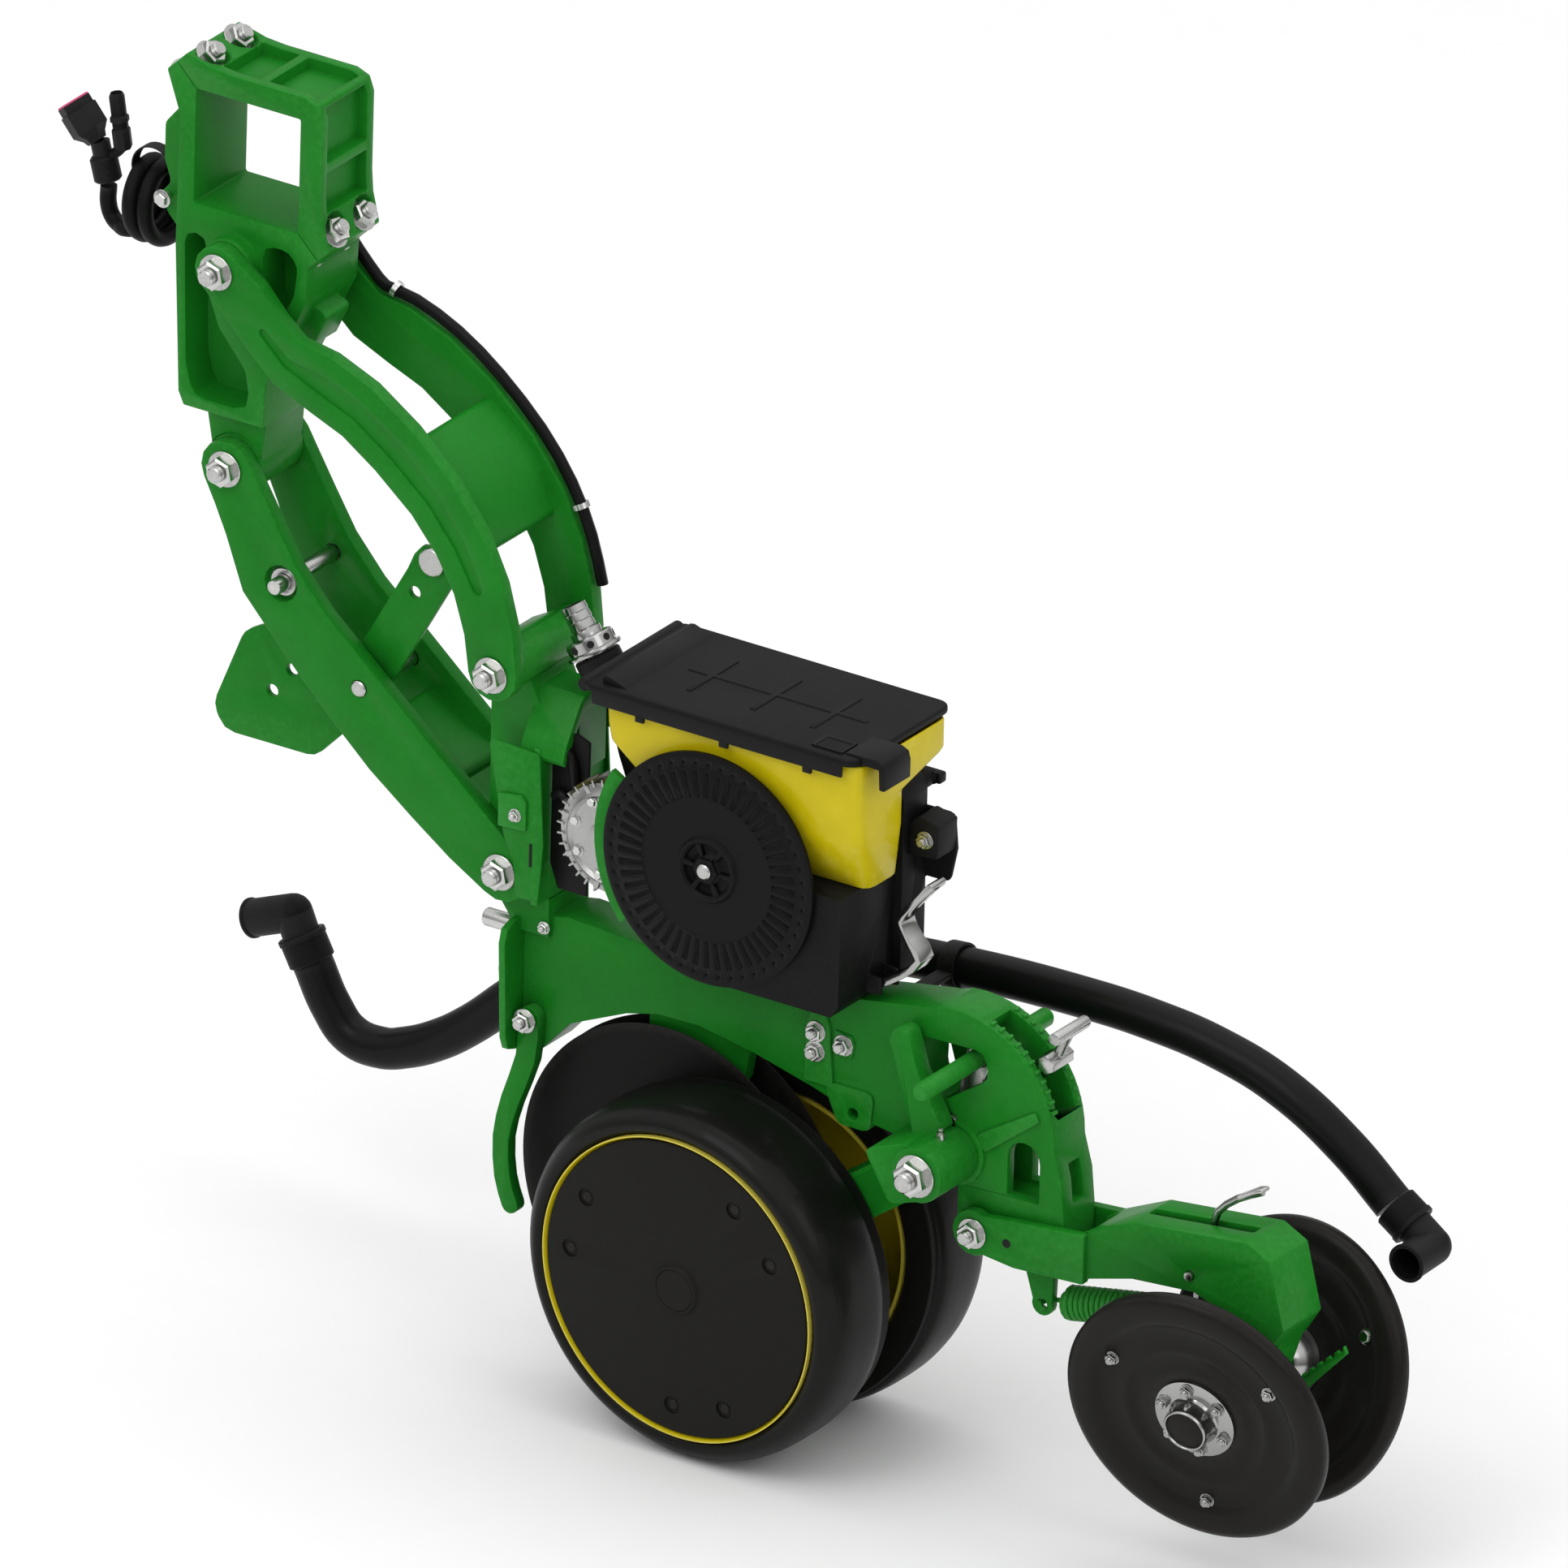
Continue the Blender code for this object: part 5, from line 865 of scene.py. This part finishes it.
# -------------------- closing wheels
# Two cast closing wheels, coated black and stepped in rings, lean in towards each other at the ground. Each is
# bolted to a bright flanged hub with a pressed dust cap, and three balance bolts stand near its rim.
CLOSER_R = 0.1524
CLOSER_BLACK = surface(
    "closing_wheel_black", linear(21, 20, 19), 0.42, 0.0024, 0.00010, 0.10,
    coat=0.06, edge_highlight=linear(46, 45, 43), dust=0.01,
)
CHROME = surface("bright_chrome", (0.39, 0.39, 0.38), 0.16, 0.0020, 0.00004, 0.05, metallic=1.0)
for side in ("near", "far"):
    place, way = axle(f"closer_{side}_spin")
    body = f"closer_{side}"
    outer_half = [
        (0.0436, 0.0040), (0.0600, 0.0040), (0.0640, 0.0028), (0.0760, 0.0028), (0.0800, 0.0050), (0.0860, 0.0056),
        (0.0900, 0.0044), (0.1120, 0.0044), (0.1150, 0.0058), (0.1210, 0.0110), (0.1270, 0.0127), (0.1400, 0.0127),
        (0.1450, 0.0114), (0.1500, 0.0084), (0.1522, 0.0050), (CLOSER_R, 0.0),
    ]
    profile = outer_half + [(radius, -height) for radius, height in reversed(outer_half[:-1])]
    wheel = turned(f"closing_wheel_{side}_casting", profile, place, way, 128)
    wear(wheel, CLOSER_BLACK, body, f"closing_wheel_{side}")
    hub_profile = [
        (0.0215, 0.0300), (0.0225, 0.0315), (0.0240, 0.0315), (0.0250, 0.0300), (0.0250, 0.0275), (0.0262, 0.0240),
        (0.0262, 0.0150), (0.0290, 0.0110), (0.0440, 0.0095), (0.0465, 0.0085), (0.0465, 0.0046), (0.0430, 0.0044),
        (0.0430, -0.0080), (0.0280, -0.0300), (0.0106, -0.0300), (0.0106, 0.0150), (0.0215, 0.0150),
    ]
    hub = turned(f"closing_hub_{side}_flange", hub_profile, place, way, 64)
    wear(hub, CHROME, body, f"closing_hub_{side}")
    cap_profile = [(0, 0.0160), (0.0213, 0.0160), (0.0213, 0.0290), (0.0200, 0.0296), (0, 0.0300)]
    wear(turned(f"closing_hub_{side}_cap", cap_profile, place, way, 48), CLOSER_BLACK, body, slot="black_plastic")
    for number in range(6):
        seat = on_ring(place, way, 0.0375, 60 * number - 24, 0.0100)
        fastener(f"closing_hub_{side}_nut_{number + 1}", NUT, seat, way, 0.0066, body, 60 * number, CHROME)
    for number in range(3):
        angle = 120 * number - 29
        seat = on_ring(place, way, 0.1080, angle, 0.0046)
        fastener(f"closing_wheel_{side}_nut_{number + 1}", NUT, seat, way, 0.0068, body, 40 * number, CHROME)
        seat = on_ring(place, way, 0.1080, angle, -0.0046)
        fastener(f"closing_wheel_{side}_head_{number + 1}", SCREW, seat, -way, 0.0068, body, 0, CHROME)

# -------------------- seed hose
# One smooth black rubber hose runs along the far side, from an elbow in front to an elbow behind. A moulded
# cuff joins each elbow to it, and a strap on the frame holds it up at its middle.
HOSE_RUBBER = surface(
    "hose_rubber", linear(15, 15, 15), 0.42, 0.0020, 0.00008, 0.10,
    coat=0.06, edge_highlight=linear(30, 30, 30),
)
HOSE_Y = 0.176
HOSE_R = 0.0222
PIPE_R, PIPE_BORE_R = 0.0203, 0.0173  # the elbows' outside and bore
HOSE_ROUTE = [
    (-0.0400, -1.0165), (-0.0155, -1.0600), (0.0090, -1.0850), (0.0480, -1.0900), (0.0780, -1.0815),
    (0.1185, -1.0615), (0.1585, -1.0330), (0.2200, -0.9780), (0.3100, -0.9100), (0.4400, -0.8530),
    (0.6000, -0.8180), (0.7635, -0.7990), (0.9260, -0.7920), (1.0080, -0.7940), (1.0900, -0.8035),
    (1.1720, -0.8270), (1.2545, -0.8735), (1.3132, -0.9211),
]
hose = tube("seed_hose_rubber", [(x, HOSE_Y, z) for x, z in HOSE_ROUTE], HOSE_R, 7, 8)
wear(hose, HOSE_RUBBER, BODY["seed_hose"], "seed_hose")
for end, cuff, corner, mouth in (
    ("front", ((-0.0407, -1.0150), (-0.0560, -0.9870)), (-0.0655, HOSE_Y, -0.9655), (-0.1180, HOSE_Y, -0.9865)),
    ("rear", ((1.3160, -0.9231), (1.3409, -0.9400)), (1.3638, HOSE_Y, -0.9565), (1.3638, 0.1260, -0.9585)),
):
    low, high = (Vector((x, HOSE_Y, z)) for x, z in cuff)
    length = (high - low).length
    sleeve = [
        (0.0205, 0.0), (0.0240, 0.0), (0.0250, 0.0012), (0.0250, length - 0.007), (0.0262, length - 0.006),
        (0.0262, length - 0.001), (0.0250, length), (0.0205, length),
    ]
    wear(turned(f"hose_cuff_{end}", sleeve, low, high - low, 48), BLACK, BODY["seed_hose"])
    corner, mouth = Vector(corner), Vector(mouth)
    into, out = (corner - high).normalized(), (mouth - corner).normalized()
    run, fall = (corner - high).length, (mouth - corner).length
    pipe = turned("pipe", rod(PIPE_R, -0.006, run), high, into, 48)
    knee = [(PIPE_R * math.sin(math.radians(k * 15)), -PIPE_R * math.cos(math.radians(k * 15))) for k in range(13)]
    knee = turned("knee", knee, corner, out, 48)
    outlet = [(0, 0), (PIPE_R, 0), (PIPE_R, fall), (PIPE_BORE_R, fall), (PIPE_BORE_R, 0.006), (0, 0.006)]
    outlet = turned("outlet", outlet, corner, out, 48)
    elbow = joined(f"hose_elbow_{end}_pipe", pipe, knee, outlet)
    wear(elbow, BLACK, BODY["seed_hose"], f"hose_elbow_{end}")
    lip = [(0.0212, -0.004), (0.0216, -0.003), (0.0216, -0.0005), (0.0210, 0.0002)]
    lip = [(PIPE_BORE_R, -0.004), *lip, (PIPE_BORE_R, 0.0002)]
    wear(turned(f"hose_elbow_{end}_lip", lip, mouth, out, 48), BLACK, BODY["seed_hose"])
softened("hose_bracket", "hose_strap", 0.0008, DISC_STEEL)

# -------------------- vacuum nozzle
# The vacuum hose's tail is machined aluminium: a barbed spigot, a cup collar with slots and a thin flange,
# bolted to the black duct that leads down to the meter.
nozzle_top, nozzle_end = Vector((0.387, 0, -0.422)), Vector((0.432, 0, -0.490))
nozzle_down = (nozzle_end - nozzle_top).normalized()
reach = (nozzle_end - nozzle_top).length
spigot = [(0.0108, 0.0)]
for barb in range(3):
    start = barb * 0.0095
    spigot += [(0.0135, start + 0.0005), (0.0142, start + 0.0080), (0.0132, start + 0.0088)]
spigot += [(0.0132, 0.0300), (0.0132, reach), (0.0108, reach)]
wear(turned("nozzle_spigot", spigot, nozzle_top, nozzle_down, 48), CHROME, BODY["nozzle"], "nozzle")
cup = [
    (0.0134, 0.0290), (0.0165, 0.0290), (0.0170, 0.0310), (0.0170, 0.0360), (0.0250, 0.0370), (0.0262, 0.0385),
    (0.0262, 0.0500), (0.0300, 0.0508), (0.0305, 0.0530), (0.0300, 0.0550), (0.0134, 0.0550),
]
wear(turned("nozzle_cup", cup, nozzle_top, nozzle_down, 96), CHROME, BODY["nozzle"])
# painted shade: the cup's eight slots are thin black discs on its face, not cuts
for number in range(8):
    seat = on_ring(nozzle_top, nozzle_down, 0.0258, 45 * number + 8, 0.0440)
    outward = seat - (nozzle_top + nozzle_down * 0.0440)
    wear(turned(f"nozzle_slot_{number + 1}", rod(0.0040, 0, 0.0008), seat, outward, 20), BLACK, BODY["nozzle"])
sleeve = ((0, -0.024), (0.0240, -0.024), (0.0255, -0.022), (0.0255, -0.004), (0.0215, 0), (0, 0))
sleeve = turned("nozzle_sleeve", [(radius, reach + z) for radius, z in sleeve], nozzle_top, nozzle_down, 48)
wear(sleeve, BLACK, "row_unit")

# -------------------- closing spring and lever
# A close-wound tension spring, painted green, pulls from the frame's lug to the lever's eye. The lever is a
# bent bright rod with a flattened tip, on a plate that hinges inside the closing frame.
eye, _ = axle("spring_follow")
front, rear = Vector((1.024, 0, -1.049)), Vector((1.150, 0, -1.026))
spring_way = (rear - front).normalized()
spring_up = Vector((-spring_way.z, 0, spring_way.x))
TURNS, STEPS = 19, 14
route = [eye + Vector(step) for step in ((0.004, -0.010, -0.003), (-0.004, -0.004, 0), (0.000, 0.006, 0.001))]
for k in range(TURNS * STEPS + 1):
    turn = 2 * math.pi * k / STEPS
    across = Vector((0, 1, 0)) * math.cos(turn) + spring_up * math.sin(turn)
    taper = 0.0165 * min(1.0, 0.35 + 0.9 * k / STEPS, 0.35 + 0.9 * (TURNS * STEPS - k) / STEPS)
    route.append(front.lerp(rear, k / (TURNS * STEPS)) + across * taper)
route += [rear + spring_way * 0.012, rear + spring_way * 0.024]
wear(tube("closing_spring_coil", route, 0.0031, 2, 1), GREEN, BODY["closing_spring"], "closing_spring")
softened("closing_lever", "closing_lever_plate", 0.0010, ZINC)
tip = [(1.240, -0.8725), (1.262, -0.8585), (1.2705, -0.8545), (1.2680, -0.8505), (1.259, -0.8530), (1.237, -0.8665)]
wear(slab("closing_lever_tip", tip, -0.0075, 0.0075, 0.0016), ZINC, BODY["closing_lever"])

# -------------------- depth setting
# The depth handle is a zinc plated forging: a crank on the quadrant's centre, with a T grip above the teeth.
# The green bar through it carries the two stops that the gauge arms' lugs bear on.
softened("depth_handle", "depth_crank", 0.0014, ZINC)
bar_at, bar_half = middle_of("depth_bar")
bar = turned("depth_stop_bar", rod(0.0104, -bar_half.y, bar_half.y, 0.0019, 0.003), bar_at, FAR, 40)
wear(bar, GREEN, BODY["depth_bar"], "depth_bar")
softened("rock_guard", "rock_guard_painted", 0.0007, GREEN)

# -------------------- latch and knobs
# A chromed over-centre latch draws the meter body shut. Above it are a star knob and a T knob, moulded in
# black, that set the vacuum chamber's shutters.
softened("meter_latch", "meter_latch_lever", 0.0012, CHROME)
softened("t_knob", "t_knob_grip", 0.0026, BLACK, 3)
softened("star_knob", "star_knob_grip", 0.0022, BLACK, 3)

# -------------------- arm harness
# A cable in a black conduit lies along the far upper arm, on its way to the meter. Two steel bands hold it to
# the arm's top flange.
softened("arm_harness", "arm_harness_conduit", 0.0006, HOSE_RUBBER)

# -------------------- pads, screws and bushes on the frame
# Raised pads of the casting carry zinc screws for the disc leg and the side cover. A thin black plate, painted shade,
# stands in the hole behind the side cover, and pale bushes space the gauge arms from the frame.
for name, outline, low, high, body in (
    (
        "frame_pad",
        [(0.720, -0.784), (0.737, -0.784), (0.743, -0.800), (0.748, -0.866), (0.712, -0.866), (0.714, -0.800)],
        -0.0345, -0.0290, "row_unit",
    ),
    (
        "frame_pad_rear",
        [(0.748, -0.800), (0.770, -0.802), (0.774, -0.812), (0.770, -0.828), (0.752, -0.828), (0.748, -0.814)],
        -0.0330, -0.0290, "row_unit",
    ),
    (
        "cover_tab",
        [(0.345, -0.624), (0.374, -0.620), (0.380, -0.628), (0.380, -0.660), (0.345, -0.662)],
        -0.0690, -0.0640, BODY["side_cover_near"],
    ),
    (
        "gauge_rib",
        [(0.926, -0.880), (0.932, -0.868), (1.000, -0.826), (1.006, -0.836), (0.940, -0.888)],
        -0.0340, -0.0290, "row_unit",
    ),
):
    wear(slab(name, outline, low, high, 0.0016), GREEN, body)
# painted shade: the side cover's slot is a thin black strip on its face, not a cut
cover_slot = [(0.3835, -0.674), (0.3865, -0.674), (0.3865, -0.700), (0.3835, -0.700)]
wear(slab("cover_slot", cover_slot, -0.0658, -0.0640), BLACK, BODY["side_cover_near"])
screws = (
    (0.7265, -0.0345, -0.8064, 0.0098), (0.7262, -0.0345, -0.8289, 0.0098), (0.7604, -0.0330, -0.8139, 0.0098),
    (0.3672, -0.0690, -0.6442, 0.0062), (0.3869, -0.0385, -0.7793, 0.0060),
)
for number, (*place, size) in enumerate(screws):
    fastener(f"frame_screw_{number + 1}", NUT, place, NEAR, size, "row_unit", 17 * number)
# painted shade: the cast holes are thin black discs on the surface, not cuts
for number, (place, radius, body) in enumerate(
    (((0.7294, -0.0301, -0.7700), 0.0045, "row_unit"), ((0.9763, -0.0441, -0.9785), 0.0048, BODY["closing_frame"]))
):
    wear(turned(f"cast_hole_{number + 1}", rod(radius, 0, 0.0005), place, NEAR, 24), BLACK, body)
pivot_at, _ = axle("gauge_near_lift")
pivot_at.y = 0
bush = [(0.0135, 0.0365), (0.0235, 0.0365), (0.0245, 0.0375), (0.0245, 0.0485), (0.0235, 0.0495), (0.0135, 0.0495)]
for side, way in (("near", NEAR), ("far", FAR)):
    wear(turned(f"gauge_bush_{side}", bush, pivot_at, way, 48), ZINC, "row_unit")
# painted shade: a thin black plate stands where the hole through the casting is, with two hoses lying on it
hole_shade_outline = [(0.400, -0.552), (0.424, -0.546), (0.440, -0.552), (0.440, -0.728), (0.404, -0.728)]
hole_shade_outline += [(0.394, -0.700), (0.394, -0.580)]
wear(slab("cable_tray", hole_shade_outline, -0.0420, -0.0375, 0.0012), BLACK, "row_unit")
for number, (x, z, end_x, end_z) in enumerate(((0.402, -0.566, 0.432, -0.640), (0.400, -0.620, 0.430, -0.690))):
    middle = (end_x - 0.004, -0.048, (z + end_z) / 2)
    route = [(x, -0.046, z), (x + 0.012, -0.048, z + 0.004), middle, (end_x, -0.046, end_z)]
    wear(tube(f"tray_hose_{number + 1}", route, 0.0052), HOSE_RUBBER, "row_unit")

# the green guard arc that shows behind the seed plate's front edge
guard = arc_band(plate_at.x, plate_at.z, 0.1500, 0.1280, range(150, 221, 5))
wear(slab("plate_guard", guard, -0.0880, -0.0800, 0.0010), GREEN, "row_unit")

# -------------------- quadrant teeth
# The depth handle's pin drops between cast teeth along both cheeks of the quadrant. They are short wedges,
# cast with the frame in one piece and painted with it.


def spoke(at, angle, inner, outer):
    """The outline, in X and Z, of a tooth on a circle, from its (radius, half width) at its foot and at its tip."""
    angle = math.radians(angle)
    outward, along = Vector((math.cos(angle), math.sin(angle))), Vector((-math.sin(angle), math.cos(angle)))
    corners = ((inner[0], -inner[1]), (outer[0], -outer[1]), outer, inner)
    return [at.xz + outward * radius + along * width for radius, width in corners]


quadrant_at, _ = axle("depth_set")
for number in range(11):
    outline = spoke(quadrant_at, 18 + 5.2 * number, (0.1230, 0.0026), (0.1310, 0.0018))
    for side, low in (("near", -0.0262), ("far", 0.0182)):
        wear(slab(f"quadrant_tooth_{side}_{number + 1}", outline, low, low + 0.0080, 0.0006), GREEN, "row_unit")

# -------------------- closing frame's drag link
# A notched flat bar sets how hard the far press wheel is loaded. It is cut from steel plate, painted green,
# and hooks into the closing frame by one of its notches.
notches = [(1.290, -1.083)]
for number in range(5):
    x, z = 1.296 + 0.0105 * number, -1.070 + 0.0092 * number
    notches += [(x, z), (x + 0.0030, z - 0.0022), (x + 0.0062, z + 0.0004), (x + 0.0072, z + 0.0062)]
notches += [(1.346, -1.026), (1.350, -1.034), (1.300, -1.088)]
wear(slab("drag_link", notches, 0.0380, 0.0430, 0.0006), GREEN, BODY["closing_frame"])

# -------------------- loose pins, clips and small bolts
# Bright zinc pins and bolts that stand in the castings' bosses, and the two bands that hold the arm's conduit.
eye_pin = [(0, -0.009), (0.0128, -0.009), (0.0128, 0.0045), (0.0152, 0.0045), (0.0152, 0.0090)]
eye_pin += [(0.0140, 0.0100), (0, 0.0100)]
bolt_upper = [(0, -0.004), (0.0100, -0.004), (0.0100, 0.0390), (0.0088, 0.0410), (0, 0.0410)]
bolt_lower = [(0, -0.004), (0.0090, -0.004), (0.0090, 0.0180), (0.0080, 0.0195), (0, 0.0195)]
nipple = [(0, -0.003), (0.0050, -0.003), (0.0050, 0.0030), (0.0026, 0.0045), (0.0034, 0.0075), (0, 0.0100)]
band = [(0.0070, -0.0030), (0.0096, -0.0030), (0.0096, 0.0030), (0.0070, 0.0030)]
for name, place, way, profile, body in (
    ("bracket_eye_pin", (0.232, -0.0260, -0.404), NEAR, eye_pin, BODY["force_bracket"]),
    ("flange_bolt_upper", (0.3500, -0.0300, -0.7900), (-1, 0, 0), bolt_upper, "row_unit"),
    ("flange_bolt_lower", (0.3500, -0.0300, -0.8420), (-1, 0, 0), bolt_lower, "row_unit"),
    ("mast_bolt_shank", (-0.1250, -0.0030, -0.0890), NEAR, rod(0.0040, -0.001, 0.0150), "toolbar_head"),
    ("grease_nipple", (0.9080, -0.0700, -0.8640), (0, 0, 1), nipple, BODY["gauge_arm_near"]),
    ("conduit_band_front", (0.1094, 0.0750, -0.1637), (0.93, 0, -0.37), band, BODY["arm_harness"]),
    ("conduit_band_rear", (0.3459, 0.0750, -0.3469), (0.43, 0, -0.90), band, BODY["arm_harness"]),
):
    wear(turned(name, profile, place, way, 32), ZINC, body)
fastener("mast_bolt", SCREW, (-0.1250, -0.0180, -0.0890), NEAR, 0.0078, "toolbar_head")
fastener("rock_guard_nut", NUT, (0.3740, -0.0512, -0.8850), NEAR, 0.0112, BODY["rock_guard"], 15)

# the motor's cooling fins, cast round the side away from the seed plate's shaft
for number in range(15):
    outline = spoke(motor_at, 100 + 11 * number, (0.0580, 0.0016), (0.0665, 0.0011))
    wear(slab(f"drive_motor_fin_{number + 1}", outline, -0.0760, -0.0450, 0.0005), ALUMINIUM, BODY["drive_motor"])

# the vacuum chamber's port block, behind the meter, with the bolt that holds it
port = [(0.800, -0.604), (0.836, -0.600), (0.838, -0.562), (0.812, -0.556), (0.800, -0.566)]
wear(slab("vacuum_port_block", port, 0.0200, 0.0560, 0.0020), BLACK, "row_unit")
fastener("vacuum_port_bolt", NUT, (0.8210, 0.0200, -0.5810), NEAR, 0.0082, "row_unit", 20)

for pattern in (NUT, SCREW):
    bpy.data.objects.remove(pattern)

# The CAD pieces that stay out of sight take a plain finish.
for node in NODES.values():
    if not node.data.materials:
        node.data.materials.append(GREEN)
